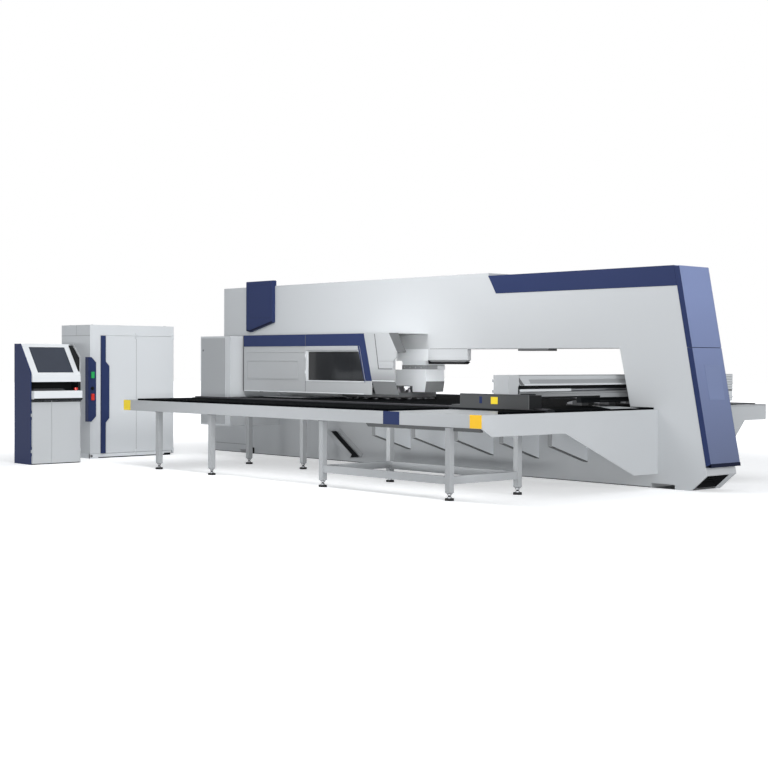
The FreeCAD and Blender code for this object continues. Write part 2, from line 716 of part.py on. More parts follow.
def cover_shell(rear_top, rear_low):
    """Folded shell on one side of the frame, open to the frame, the floor and the rear."""
    outline = [
        (COVER_FRONT, COVER_BOTTOM), (rear_low, COVER_BOTTOM), (rear_low, SLANT_FOOT),
        (rear_top, COVER_TOP), (COVER_FRONT, COVER_TOP),
    ]
    hollow = [
        (COVER_FRONT + COVER_T, COVER_BOTTOM - 1), (rear_low + FRAME_W, COVER_BOTTOM - 1),
        (rear_low + FRAME_W, COVER_TOP - COVER_T), (COVER_FRONT + COVER_T, COVER_TOP - COVER_T),
    ]
    return prism_yz(outline, HALF, COVER_X).cut(prism_yz(hollow, HALF - 1, COVER_X - COVER_T))


def near_cover():
    """Cover of the near side, with the opening and the hinge pins of the tool door."""
    body = cover_shell(COVER_REAR_TOP, COVER_REAR_LOW)
    body = body.cut(prism_yz(door_outline(DOOR_SPLIT), COVER_X - 2 * COVER_T, COVER_X + 1))
    return join([body] + [hinge_half(DOOR_SPLIT, z, -1) for z in hinge_zs()])


def cover_bands():
    """Raised band along the top of each cover; the near one turns down along the slanted rear edge."""
    near = [
        (COVER_FRONT, BAND_BOTTOM), (cover_rear_y(BAND_BOTTOM) - BAND_WIDTH_TOP, BAND_BOTTOM),
        (cover_rear_y(SLANT_FOOT) - BAND_WIDTH_TOP, SLANT_FOOT), (COVER_REAR_LOW, SLANT_FOOT),
        (COVER_REAR_TOP, COVER_TOP), (COVER_FRONT, COVER_TOP),
    ]
    low = (COVER_TOP - BAND_BOTTOM) * (FAR_COVER_REAR_LOW - FAR_COVER_REAR_TOP) / (COVER_TOP - SLANT_FOOT)
    plain = [
        (COVER_FRONT, BAND_BOTTOM), (FAR_COVER_REAR_TOP + low, BAND_BOTTOM),
        (FAR_COVER_REAR_TOP, COVER_TOP), (COVER_FRONT, COVER_TOP),
    ]
    return group([prism_yz(near, COVER_X, COVER_X + BAND_T), far(prism_yz(plain, COVER_X, COVER_X + BAND_T))])


def cover_end():
    """Stepped end piece behind the cover, with a raised hatch, an end lip and a skirt."""
    face = [
        (COVER_REAR_TOP, COVER_TOP), (END_TOP_Y, COVER_TOP), (END_NOSE_Y, END_NOSE_Z),
        (END_NOSE_Y, END_NOSE_Z - END_NOSE_H), (END_NECK_Y, END_NECK_Z + END_NECK_H),
        (END_NECK_Y, END_NECK_Z),
        (END_TAIL_Y, END_NECK_Z - END_TAIL_DROP), (END_TAIL_Y, SLANT_FOOT), (COVER_REAR_LOW, SLANT_FOOT),
    ]
    hatch = [
        (cover_rear_y(COVER_TOP) + HATCH_TOP_BACK, COVER_TOP - HATCH_INSET),
        (END_TOP_Y - 2 * HATCH_TRIM, COVER_TOP - HATCH_INSET), (END_NOSE_Y - HATCH_INSET, END_NOSE_Z),
        (END_NOSE_Y - HATCH_INSET, END_NOSE_Z - END_NOSE_H + HATCH_TRIM),
        (END_NECK_Y - HATCH_INSET, END_NECK_Z + END_NECK_H - HATCH_TRIM),
        (END_NECK_Y - HATCH_INSET, END_NECK_Z + HATCH_TRIM),
        (cover_rear_y(COVER_TOP) + HATCH_LOW_BACK, END_NECK_Z + HATCH_TRIM),
    ]
    skirt = [
        (COVER_X, SLANT_FOOT), (COVER_X - SKIRT_IN, COVER_BOTTOM + 8),
        (COVER_X - SKIRT_IN - COVER_T, COVER_BOTTOM + 8), (COVER_X - COVER_T, SLANT_FOOT),
    ]
    lip = [
        (END_TOP_Y - COVER_T, COVER_TOP), (END_TOP_Y, COVER_TOP), (END_NOSE_Y, END_NOSE_Z),
        (END_NOSE_Y - COVER_T, END_NOSE_Z),
    ]
    low = COVER_TOP - COVER_T
    lid = [(COVER_REAR_TOP, COVER_TOP), (cover_rear_y(low), low), (END_TOP_Y, low), (END_TOP_Y, COVER_TOP)]
    return join([
        prism_yz(face, COVER_X - COVER_T, COVER_X),
        prism_yz(lid, HALF, COVER_X),
        prism_yz(hatch, COVER_X, COVER_X + HATCH_T),
        prism_xz(skirt, COVER_REAR_LOW, END_TAIL_Y),
        prism_yz(lip, COVER_X - END_LIP_W, COVER_X),
    ])


def hinge_zs():
    """Lower end of each hinge of a tool door."""
    return (DOOR_BOTTOM + HINGE_INSET, BAND_BOTTOM - HINGE_INSET - HINGE_L)


def knuckle_half(x, y, z0, moving, tab):
    """Round parts of half a hinge with its pin at x, y; tab, as x0, y0, x1, y1, ties them to their plate."""
    third = HINGE_L / 3
    pieces = []
    for z in [z0 + third] if moving else [z0, z0 + 2 * third]:
        pieces.append(rod(x, y, z + GAP / 2, HINGE_R, third - GAP))
        pieces.append(box(tab[0], tab[1], z + GAP / 2, tab[2], tab[3], z + third - GAP / 2))
    if moving:
        return join(pieces).cut(rod(x, y, z0, HINGE_PIN_R + RUN_GAP, HINGE_L))
    return join(pieces + [rod(x, y, z0, HINGE_PIN_R, HINGE_L)])


def hinge_half(split, z0, side):
    """One half of a butt hinge over the door gap: side 1 is the door's, -1 the cover's with the pin."""
    x, y = COVER_X + HINGE_R, split + DOOR_GAP / 2
    near_y = y + side * (HINGE_R + 1)
    leaf_ys = sorted([near_y, near_y + side * LEAF_W])
    tab_ys = sorted([y + side * HINGE_R / 2, near_y])
    leaf = box(COVER_X, leaf_ys[0], z0, COVER_X + LEAF_T, leaf_ys[1], z0 + HINGE_L)
    tab = (COVER_X, tab_ys[0], COVER_X + LEAF_T, tab_ys[1])
    return join([leaf, knuckle_half(x, y, z0, side > 0, tab)])


def pane_outline(outer):
    """Outline of the pane in the door's frame."""
    return inset(outer, DOOR_STILE, DOOR_SILL, DOOR_SILL, DOOR_RAIL)


def door_frame():
    """Tool door: a frame round the pane, with its halves of the two hinges."""
    outer = inset(door_outline(DOOR_SPLIT), DOOR_GAP, DOOR_GAP, DOOR_GAP, DOOR_GAP)
    body = prism_yz(outer, COVER_X - DOOR_T, COVER_X).cut(prism_yz(pane_outline(outer), HALF, COVER_X + 1))
    return join([body] + [hinge_half(DOOR_SPLIT, z, 1) for z in hinge_zs()])


def door_glass():
    """Pane in the tool door."""
    outer = inset(door_outline(DOOR_SPLIT), DOOR_GAP, DOOR_GAP, DOOR_GAP, DOOR_GAP)
    return prism_yz(pane_outline(outer), COVER_X - DOOR_T / 2, COVER_X - DOOR_T / 2 + GLASS_T)


# ---------------------------------------------------------------- tables
def turret_well(z0, z1):
    """Round clearance about the turret."""
    return rod(0, TURRET_Y, z0, TURRET_WELL_R, z1 - z0)


def side_table(edge):
    """Deck with folded aprons at its outer edge and front end, on a stringer by each row of legs."""
    z0 = DECK_TOP - DECK_T
    pieces = [
        box(HALF, TABLE_FRONT, z0, edge - PLATE_T, TABLE_REAR - WING_T, DECK_TOP),
        box(edge - PLATE_T, TABLE_FRONT, TABLE_Z0, edge, TABLE_REAR - WING_T, TABLE_TOP),
        box(HALF, TABLE_FRONT, TABLE_Z0, edge, TABLE_FRONT + PLATE_T, TABLE_TOP),
    ]
    for y in FRONT_LEG_YS[:1] + REAR_LEG_YS:
        pieces.append(box(HALF, y + LEG / 2, TABLE_Z0, edge - PLATE_T, y + LEG / 2 + PLATE_T, z0))
    return join(pieces).cut(turret_well(TABLE_Z0 - 1, TABLE_TOP + 1))


def centre_table():
    """Fixed table inside the throat, from the turret to the throat's rear wall."""
    z0 = DECK_TOP - DECK_T
    front = CENTRE_FRONT
    rear = throat_y(z0) - 2 * DECK_T
    lid = box(-HALF, front, z0, HALF, rear, DECK_TOP)
    walls = [box(s - DECK_T / 2, front, BED_TOP, s + DECK_T / 2, rear, z0)
             for s in (-HALF + DECK_T, 0, HALF - DECK_T)]
    return join([lid] + walls)


def brush_field(x0, x1, y0, y1):
    """Rows of brush on a thin mat that fill one field of a table."""
    rows = int((y1 - y0) // BRUSH_PITCH)
    pitch = (y1 - y0) / rows
    gap = BRUSH_PITCH - BRUSH_W
    field = box(x0, y0, DECK_TOP, x1, y1, BRUSH_TOP)
    grooves = [box(x0 - 1, y0 + i * pitch - gap, DECK_TOP + MAT_T, x1 + 1, y0 + i * pitch, BRUSH_TOP + 1)
               for i in range(1, rows)]
    return field.cut(group(grooves))


def table_brushes():
    """Brush fields on either side of the guides of both tables, and on the centre table."""
    rear = TABLE_REAR - WING_T - BORDER
    clear = SADDLE_W / 2 + BORDER / 2
    near_in = brush_field(HALF + GAP, GUIDE_X - clear, BRUSH_FRONT, rear)
    near_out = brush_field(GUIDE_X + clear, TABLE_X - BORDER, BRUSH_FRONT, CORNER_Y0)
    edge, tip = GUIDE_X + clear, TABLE_X - CORNER_X
    slant = [V(edge, CORNER_Y1, DECK_TOP), V(tip, rear, DECK_TOP), V(tip, CORNER_Y1, DECK_TOP)]
    panel = prism(slant, V(0, 0, BRUSH_H + 1))
    near_rear = brush_field(edge, tip, CORNER_Y1, rear).cut(panel)
    far_in = far(brush_field(HALF + GAP, FAR_GUIDE_X - clear, BRUSH_FRONT, rear))
    centre = brush_field(-HALF + GAP, HALF - GAP, CENTRE_FRONT + GAP,
                         throat_y(DECK_TOP - DECK_T) - 2 * DECK_T)
    well = turret_well(DECK_TOP - 1, BRUSH_TOP + 1)
    return group([near_in.cut(well), near_out, near_rear, far_in.cut(well), centre])


def wing_plate(edge, tip, knee, shallow, diagonal):
    """Deep cantilever plate that closes the rear of a table."""
    outline = [
        (HALF, TABLE_TOP), (edge, TABLE_TOP), (edge, min(TABLE_Z0, shallow + tip)), (edge - tip, shallow),
        (knee, shallow), (knee - diagonal, WING_Z_DEEP), (HALF, WING_Z_DEEP),
    ]
    return prism_xz(outline, TABLE_REAR - WING_T, TABLE_REAR)


def wing_plates():
    """The rear plates of both tables; the far one is shorter and steeper."""
    near = wing_plate(TABLE_X, WING_TIP, WING_X_KNEE, WING_Z_SHALLOW, WING_DIAGONAL)
    small = wing_plate(FAR_TABLE_X, PLATE_T, FAR_WING_X_KNEE, FAR_WING_Z, FAR_WING_DIAGONAL)
    return group([near, far(small)])


def leg_spots():
    """Centre of each leg: the near table's, then the far table's."""
    spots = []
    for edge, s, front_in, rear_in in ((TABLE_X, 1, FRONT_LEG_X_IN, REAR_LEG_X_IN),
                                       (FAR_TABLE_X, -1, FAR_LEG_X_IN, FAR_LEG_X_IN)):
        spots += [(s * x, y) for y in FRONT_LEG_YS for x in (front_in, edge - LEG_INSET)]
        spots += [(s * x, y) for y in REAR_LEG_YS for x in (rear_in, edge - LEG_INSET)]
    return spots


def leg_block(x, y, z0, z1):
    """The square column that a leg fills."""
    half = LEG / 2
    return box(x - half, y - half, z0, x + half, y + half, z1)


def table_legs():
    """Square legs with chamfered lower ends."""
    legs = []
    for x, y in leg_spots():
        leg = leg_block(x, y, LEG_Z0, DECK_TOP - DECK_T)
        low = [e for e in leg.Edges if abs(e.BoundBox.ZMax - LEG_Z0) < 1]
        legs.append(leg.makeChamfer(LEG_WALL_CUT, low))
    return group(legs)


def levelling_feet():
    """Threaded stems with round pads under the legs."""
    return group([join([rod(x, y, 0, FOOT_R, FOOT_T), rod(x, y, 0, STEM_R, LEG_Z0)])
                  for x, y in leg_spots()])


def shelf_frame(spans):
    """Low rectangle of rails between the four rear legs of a table, with two inner ledges."""
    x0, x1 = spans
    y0, y1 = REAR_LEG_YS
    t = SHELF_T / 2
    rails = [box(x - t, y0, SHELF_Z0, x + t, y1, SHELF_Z1) for x in spans]
    rails += [box(x0, y - t, SHELF_Z0, x1, y + t, SHELF_Z1) for y in REAR_LEG_YS]
    rails += [
        box(x0 + t, y0 + t, SHELF_Z0, x0 + t + SHELF_LEDGE, y1 - t, SHELF_Z0 + SHEET),
        box(x1 - t - SHELF_LEDGE, y0 + t, SHELF_Z0, x1 - t, y1 - t, SHELF_Z0 + SHEET),
    ]
    posts = [leg_block(x, y, SHELF_Z0 - 1, SHELF_Z1 + 1) for x in spans for y in REAR_LEG_YS]
    return join(rails).cut(group(posts))


def gussets():
    """Cantilever brackets under the decks; each one deepens towards the frame."""
    outline = [
        (HALF, BRACKET_Z_ROOT), (HALF + BRACKET_REACH, BRACKET_Z_TIP),
        (HALF + BRACKET_REACH, DECK_TOP - DECK_T), (HALF, DECK_TOP - DECK_T),
    ]
    plates = []
    for i in range(BRACKETS):
        y = BRACKET_Y0 + i * BRACKET_PITCH
        plate = prism_xz(outline, y - BRACKET_T, y)
        plates += [plate, far(plate)]
    return group(plates)


def scrap_chute():
    """Sloping channel that brings slugs down from the lower turret."""
    run = math.hypot(CHUTE_Y1 - CHUTE_Y0, CHUTE_Z1 - CHUTE_Z0)
    ny, nz = (CHUTE_Z0 - CHUTE_Z1) / run, (CHUTE_Y1 - CHUTE_Y0) / run

    def strip(depth):
        dy, dz = ny * depth, nz * depth
        return [(CHUTE_Y0, CHUTE_Z0), (CHUTE_Y1, CHUTE_Z1),
                (CHUTE_Y1 + dy, CHUTE_Z1 + dz), (CHUTE_Y0 + dy, CHUTE_Z0 + dz)]
    x0, x1 = HALF, HALF + CHUTE_W
    return join([prism_yz(strip(CHUTE_T), x0, x1),
                 prism_yz(strip(CHUTE_LIP), x0, x0 + CHUTE_T),
                 prism_yz(strip(CHUTE_LIP), x1 - CHUTE_T, x1)])


# ---------------------------------------------------------------- feed axes
def y_guide(x):
    """Guide base along a table."""
    half = GUIDE_W / 2
    return box(x - half, GUIDE_FRONT, DECK_TOP, x + half, GUIDE_REAR, GUIDE_Z1)


def y_rail(x):
    """Ground rail on a guide base."""
    half = RAIL_W / 2
    return box(x - half, GUIDE_FRONT, GUIDE_Z1, x + half, GUIDE_REAR, RAIL_Z1)


def beam_saddle(x, rear):
    """Saddle that carries the beam on a rail, with a wiper box in front."""
    half = SADDLE_W / 2
    z0 = GUIDE_Z1 + GAP
    block = box(x - half, SADDLE_FRONT, z0, x + half, rear, SADDLE_TOP)
    nose = box(x - half, SADDLE_FRONT - SADDLE_NOSE, z0, x + half, SADDLE_FRONT, RAIL_Z1 + SADDLE_NOSE_H)
    groove = box(x - RAIL_W / 2 - GAP, SADDLE_FRONT - SADDLE_NOSE - 1, z0 - 1,
                 x + RAIL_W / 2 + GAP, rear + 1, RAIL_Z1 + GAP)
    return join([block, nose]).cut(groove)


def x_beam():
    """Cross beam: a web under a sloping hood, between two end blocks."""
    z0 = SADDLE_TOP
    flat, lip = BEAM_FRONT + HOOD_FLAT_D, BEAM_REAR + HOOD_OUT
    slope = (BEAM_TOP - HOOD_LIP_Z) / (lip - flat)
    web = BEAM_FRONT + BEAM_WEB_D
    profile = [
        (BEAM_FRONT, z0), (web, z0), (web, BEAM_TOP - 2 * HOOD_T), (flat, BEAM_TOP - 2 * HOOD_T),
        (lip - HOOD_T, HOOD_LIP_Z), (lip, HOOD_LIP_Z), (flat, BEAM_TOP), (BEAM_FRONT, BEAM_TOP),
    ]
    hood = prism_yz(profile, BEAM_X0 + BEAM_END_L, BEAM_X1 - BEAM_END_L)
    ends = [box(x, BEAM_FRONT, z0, x + BEAM_END_L, BEAM_REAR, BEAM_TOP)
            for x in (BEAM_X0, BEAM_X1 - BEAM_END_L)]
    y = flat + (lip - flat) * 0.3
    z = BEAM_TOP - slope * (y - flat)
    outline = [(y, z + GROOVE_X), (y + 3 * GROOVE_X, z + GROOVE_X),
               (y + 3 * GROOVE_X, z - 4 * GROOVE_X), (y, z - GROOVE_X)]
    groove = prism_yz(outline, BEAM_X0 + 2 * BEAM_END_L, BEAM_X1 - 2 * BEAM_END_L)
    return join([hood] + ends).cut(groove)


def beam_tray():
    """Folded cable tray below the beam, between the saddles."""
    x0 = -FAR_GUIDE_X + SADDLE_W / 2 + TRAY_CLEAR
    x1 = GUIDE_X - SADDLE_W / 2 - TRAY_CLEAR
    tray = box(x0, BEAM_FRONT, TRAY_Z0, x1, BEAM_REAR, SADDLE_TOP)
    inside = box(x0 - 1, BEAM_FRONT + SHEET, TRAY_Z0 + SHEET, x1 + 1, BEAM_REAR - SHEET, SADDLE_TOP - SHEET)
    return tray.cut(inside)


def rail_zs():
    """Heights of the two rails on the front of the beam."""
    return (SADDLE_TOP + X_RAIL_H / 2, BEAM_TOP - 2.5 * X_RAIL_H)


def x_rails():
    """Ground rails on the front face of the cross beam, and the feed screw under its hood."""
    rails = [box(BEAM_X0, BEAM_FRONT - X_RAIL_T, z, BEAM_X1, BEAM_FRONT, z + X_RAIL_H) for z in rail_zs()]
    screw = rod_x(BEAM_X0 + BEAM_END_L, BEAM_FRONT + BEAM_WEB_D + 2 * SCREW_R, SADDLE_TOP + 2.5 * SCREW_R,
                  SCREW_R, BEAM_X1 - BEAM_X0 - 2 * BEAM_END_L)
    return group(rails + [screw])


def x_carriage():
    """Carriage plate that runs along the beam's rails."""
    y1 = BEAM_FRONT - GAP
    body = box(-CARRIAGE_HALF, y1 - CARRIAGE_T, CARRIAGE_Z0, CARRIAGE_HALF, y1, CARRIAGE_Z1)
    for z in rail_zs():
        body = body.cut(box(-CARRIAGE_HALF - 1, BEAM_FRONT - X_RAIL_T - GAP, z - GAP,
                            CARRIAGE_HALF + 1, y1 + 1, z + X_RAIL_H + GAP))
    return body


def clamp_y():
    """Y of the carriage's front face, where the clamps are bolted."""
    return BEAM_FRONT - GAP - CARRIAGE_T


def clamp_bodies():
    """Clamp bodies, each with a fixed lower jaw and two cheeks for the pivot."""
    y1 = clamp_y()
    y0 = y1 - CLAMP_L
    half = CLAMP_W / 2
    bodies = []
    for x in CLAMP_XS:
        block = box(x - half, y1 - CLAMP_BASE_L, PASS_Z - JAW_T, x + half, y1, CLAMP_TOP)
        tongue = box(x - half, y0, PASS_Z - JAW_T, x + half, y1, PASS_Z)
        cheeks = [box(x + s * half - JAW_T / 2 * (1 + s), y1 - CLAMP_BASE_L - 2 * PIVOT_Y, PASS_Z,
                      x + s * half + JAW_T / 2 * (1 - s), y1 - CLAMP_BASE_L, CLAMP_TOP) for s in (-1, 1)]
        pin = rod_x(x - half, y1 - CLAMP_BASE_L - PIVOT_Y, CLAMP_TOP - PIVOT_DROP, PIVOT_R, CLAMP_W)
        bodies.append(join([block, tongue] + cheeks + [pin]))
    return group(bodies)


def clamp_jaw(x):
    """Upper jaw that turns on the clamp's pin."""
    half = CLAMP_W / 2 - JAW_T - GAP
    py, pz = clamp_y() - CLAMP_BASE_L - PIVOT_Y, CLAMP_TOP - PIVOT_DROP
    tip = clamp_y() - CLAMP_L + SHEET_GAP
    heel = 2.6 * PIVOT_R
    outline = [
        (tip, JAW_LOW), (py + heel, JAW_LOW), (py + heel, pz + heel), (py - heel, pz + heel),
        (tip, JAW_LOW + 2 * JAW_T),
    ]
    return prism_yz(outline, x - half, x + half).cut(
        rod_x(x - half - 1, py, pz, PIVOT_R + RUN_GAP, 2 * half + 2))


# ---------------------------------------------------------------- console
def console_profile(knee_z=CON_KNEE_Z, top_d=CON_TOP_D):
    """Outline of the console's side: back, short top, sloping face, upright front."""
    back = CON_FRONT - CON_D
    return [(back, 0), (CON_FRONT, 0), (CON_FRONT, knee_z), (back + top_d, CON_H), (back, CON_H)]


def hood_foot():
    """Y and Z of the lower edge of the sloping face, which runs on past the carcass."""
    fall = (CON_H - CON_KNEE_Z) / (CON_D - CON_TOP_D)
    return (CON_FRONT + CON_HOOD_OUT, CON_KNEE_Z - CON_HOOD_OUT * fall)


def console_body():
    """Hood and carcass with the keyboard recess, open behind the doors."""
    x0, x1 = CON_X0 + CON_SIDE_T, CON_X1 - CON_SIDE_T
    body = prism_yz(console_profile(), x0, x1)
    y, z = hood_foot()
    nose = prism_yz([(CON_FRONT - 1, KEY_RECESS_Z1), (y, KEY_RECESS_Z1), (y, z),
                     (CON_FRONT, CON_KNEE_Z), (CON_FRONT - 1, CON_KNEE_Z)], x0, x1)
    lip = box(x0, CON_FRONT, SHELF_LIP_Z0, x1, CON_FRONT + SHELF_LIP_OUT, SHELF_LIP_Z1)
    lip = lip.makeFillet(12, [e for e in lip.Edges if abs(e.CenterOfMass.y - CON_FRONT - SHELF_LIP_OUT) < 1
                              and e.Length > CON_SIDE_T * 20])
    recess = box(x0 + CON_SIDE_T, CON_FRONT - KEY_RECESS_D, SHELF_LIP_Z1, x1 + 1,
                 CON_FRONT + 1, KEY_RECESS_Z1)
    cupboard = box(x0 + CON_SIDE_T, CON_FRONT - CON_D + CON_SIDE_T, CON_DOOR_Z0,
                   x1 - CON_SIDE_T, CON_FRONT + 1, CON_DOOR_Z1)
    x, y = stop_spot()
    seat = rod(x, y, SHELF_LIP_Z1 - 2 * STOP_TRAVEL, STOP_STEM_R + GAP, 3 * STOP_TRAVEL)
    body = join([body, nose, lip]).cut(recess).cut(cupboard)
    return body.cut(screen_block(-1, SCREEN_T + 1)).cut(seat)


def face_frame():
    """Origin, up-slope direction and outward normal of the sloping face, in Y and Z."""
    foot = hood_foot()
    run_y = foot[0] - (CON_FRONT - CON_D + CON_TOP_D)
    run_z = CON_H - foot[1]
    length = math.hypot(run_y, run_z)
    up = (-run_y / length, run_z / length)
    normal = (run_z / length, run_y / length)
    return foot, up, normal, length


def screen_block(low, high):
    """A block on the sloping face, from depth high below it to low above it."""
    (y0, z0), up, normal, length = face_frame()
    start = length - SCREEN_MARGIN - SCREEN_H

    def spot(along, out):
        return (y0 + up[0] * along + normal[0] * out, z0 + up[1] * along + normal[1] * out)
    outline = [spot(start, -high), spot(start + SCREEN_H, -high),
               spot(start + SCREEN_H, -low), spot(start, -low)]
    middle = (CON_X0 + CON_X1) / 2
    return prism_yz(outline, middle - SCREEN_W / 2, middle + SCREEN_W / 2)


def console_screen():
    """Flat screen sunk in the sloping face."""
    return screen_block(2, SCREEN_T + 1)


def console_sides():
    """Far and near side plates of the console with the doors' pins; the far one stands out as a cheek."""
    cheek = console_profile(CHEEK_KNEE_Z, CHEEK_TOP_D)
    plates = [prism_yz(cheek, CON_X0, CON_X0 + CON_SIDE_T),
              prism_yz(console_profile(), CON_X1 - CON_SIDE_T, CON_X1)]
    sides = []
    for plate, x in zip(plates, (CON_X0 + CON_SIDE_T / 2, CON_X1 - CON_SIDE_T / 2)):
        y = CON_FRONT + CON_DOOR_T / 2
        tab = (x - HINGE_PIN_R, CON_FRONT, x + HINGE_PIN_R, y)
        sides.append(join([plate] + [knuckle_half(x, y, z, False, tab) for z in CON_HINGE_ZS]))
    return sides


def console_door(x0, x1, side):
    """One flat door in front of the cupboard, hinged on its far edge for side -1, on the near one for 1."""
    body = box(x0 + DOOR_GAP / 2, CON_FRONT + GAP, CON_DOOR_Z0 - CON_DOOR_LAP,
               x1 - DOOR_GAP / 2, CON_FRONT + CON_DOOR_T, CON_DOOR_Z1 + CON_DOOR_LAP)
    edge = x1 if side > 0 else x0
    x, y = edge + side * CON_SIDE_T / 2, CON_FRONT + CON_DOOR_T / 2
    xs = sorted([edge - side * DOOR_GAP, x])
    tab = (xs[0], y - HINGE_PIN_R, xs[1], y + HINGE_PIN_R)
    return join([body] + [knuckle_half(x, y, z, True, tab) for z in CON_HINGE_ZS])


def keyboard():
    """Keyboard on the shelf, with rows of keys."""
    x0 = CON_X1 - CON_SIDE_T * 3 - KEYBOARD_L
    y0 = CON_FRONT - KEYBOARD_D
    body = box(x0, y0, SHELF_LIP_Z1, x0 + KEYBOARD_L, y0 + KEYBOARD_D, SHELF_LIP_Z1 + KEYBOARD_H)
    rows = []
    for i in range(4):
        y = y0 + 10 + i * (KEYBOARD_D - 14) / 4
        rows.append(box(x0 + 10, y, SHELF_LIP_Z1 + KEYBOARD_H, x0 + KEYBOARD_L - 10,
                        y + (KEYBOARD_D - 14) / 4 - 6, SHELF_LIP_Z1 + KEYBOARD_H + 6))
    return join([body] + rows)


def stop_spot():
    """Centre of the stop button on the shelf."""
    return (CON_X0 + CON_SIDE_T * 2 + STOP_R * 2, CON_FRONT + SHELF_LIP_OUT / 4)


def stop_button():
    """Mushroom-headed stop button."""
    x, y = stop_spot()
    z = SHELF_LIP_Z1
    return join([rod(x, y, z - STOP_TRAVEL / 2, STOP_STEM_R, STOP_TRAVEL + STOP_H),
                 rod(x, y, z + STOP_TRAVEL + BUTTON_LIFT, STOP_R, STOP_H)])


# ---------------------------------------------------------------- control cabinet
def cabinet_body():
    """Carcass with its top fascia, open at the front."""
    back = CAB_FRONT - CAB_D
    face = CAB_FRONT - CAB_DOOR_T
    body = box(CAB_X0, back, CAB_PLINTH, CAB_X1, face, CAB_TOP)
    fascia = box(CAB_X0, face, CAB_SEAM_Z + DOOR_GAP, CAB_X1, CAB_FRONT, CAB_TOP)
    post = box(STRIP_X0 + STRIP_W + DOOR_GAP, face, CAB_PLINTH, CAB_X1, CAB_FRONT, CAB_SEAM_Z + DOOR_GAP)
    hollow = box(CAB_X0 + CAB_WALL, back + CAB_WALL, CAB_PLINTH + CAB_WALL,
                 STRIP_X0, face + 1, CAB_SEAM_Z - CAB_WALL)
    brackets = carcass_pivots(CAB_X0) + carcass_pivots(CAB_SPLIT_X)
    return join([body, fascia, post, plinth()]).cut(hollow).fuse(brackets).removeSplitter()


def plinth():
    """Hollow base under the cabinet's carcass."""
    back = CAB_FRONT - CAB_D
    inset_x = 2 * CAB_WALL
    body = box(CAB_X0 + inset_x, back + CAB_WALL, 0, CAB_X1, CAB_FRONT - CAB_WALL, CAB_PLINTH)
    return body.cut(box(CAB_X0 + inset_x + CAB_WALL, back + 2 * CAB_WALL, -1, CAB_X1 - CAB_WALL,
                        CAB_FRONT - 2 * CAB_WALL, CAB_PLINTH - CAB_WALL))


def carcass_pivots(edge):
    """Brackets with pins, under and over a cabinet door that starts at edge."""
    x, y = edge + PIVOT_IN, CAB_FRONT + HINGE_R + LEAF_T
    tall = HINGE_L / 3
    brackets = []
    for z, back, pin_z in ((CAB_PLINTH - tall, 2 * CAB_WALL, CAB_PLINTH - tall),
                           (CAB_SEAM_Z + DOOR_GAP, 0, CAB_SEAM_Z + DOOR_GAP - tall)):
        brackets.append(join([
            box(x, CAB_FRONT - back, z, x + 2 * HINGE_R, y + LEAF_T, z + tall),
            rod(x, y, z, HINGE_R, tall), rod(x, y, pin_z, HINGE_PIN_R, 2 * tall),
        ]))
    return brackets


def door_pivots(edge):
    """Knuckles that turn on the carcass's pins, at the foot and the top of a cabinet door."""
    x, y = edge + PIVOT_IN, CAB_FRONT + HINGE_R + LEAF_T
    tall = HINGE_L / 3
    knuckles = []
    for z in (CAB_PLINTH + DOOR_GAP, CAB_SEAM_Z - tall):
        tie = box(x, CAB_FRONT, z, x + 2 * HINGE_R, y + LEAF_T, z + tall)
        knuckles.append(tie.fuse(rod(x, y, z, HINGE_R, tall)).cut(rod(x, y, z, HINGE_PIN_R + RUN_GAP, tall)))
    return knuckles


def cabinet_door(x0, x1):
    """One folded door of the cabinet, with its knuckles."""
    y0 = CAB_FRONT - CAB_DOOR_T + DOOR_GAP / 2
    z0, z1 = CAB_PLINTH + DOOR_GAP, CAB_SEAM_Z
    body = box(x0 + DOOR_GAP / 2, y0, z0, x1 - DOOR_GAP / 2, CAB_FRONT, z1)
    body = body.cut(box(x0 + SHEET, y0 - 1, z0 + SHEET, x1 - SHEET, CAB_FRONT - SHEET, z1 - SHEET))
    return join([body] + door_pivots(x0))


def cabinet_handle():
    """Upright handle strip that widens at hand height."""
    x0, x1 = STRIP_X0, STRIP_X0 + STRIP_W
    wide = x0 - STRIP_BULGE
    outline = [
        (x1, CAB_PLINTH + DOOR_GAP), (x1, CAB_SEAM_Z), (x0, CAB_SEAM_Z), (x0, BULGE_Z1 + BULGE_SLOPE),
        (wide, BULGE_Z1), (wide, BULGE_Z0), (x0, BULGE_Z0 - BULGE_SLOPE), (x0, CAB_PLINTH + DOOR_GAP),
    ]
    return prism_xz(outline, CAB_FRONT, CAB_FRONT + STRIP_T)


def control_panel():
    """Panel that wraps the corner post, with seats for its buttons and switch."""
    x1 = CAB_X1 + PANEL_PROUD
    outline = [
        (x1, PANEL_Z0), (x1, PANEL_Z1), (PANEL_X0 + PANEL_CUT, PANEL_Z1), (PANEL_X0, PANEL_Z1 - PANEL_CUT),
        (PANEL_X0, PANEL_Z0 + PANEL_CUT), (PANEL_X0 + PANEL_CUT, PANEL_Z0),
    ]
    body = prism_xz(outline, CAB_FRONT, CAB_FRONT + PANEL_T)
    body = body.fuse(box(CAB_X1, CAB_FRONT - PANEL_PROUD, PANEL_Z0, x1, CAB_FRONT, PANEL_Z1))
    x = panel_x()
    for z in (GREEN_Z, RED_Z, SWITCH_Z):
        body = body.cut(rod_y(x, CAB_FRONT + PANEL_T - 2 * STEM, z, STEM + GAP, 3 * STEM))
    return body.removeSplitter()


def panel_x():
    """X of the column of buttons."""
    return PANEL_X0 + PANEL_CUT / 2 + BUTTON_W / 2


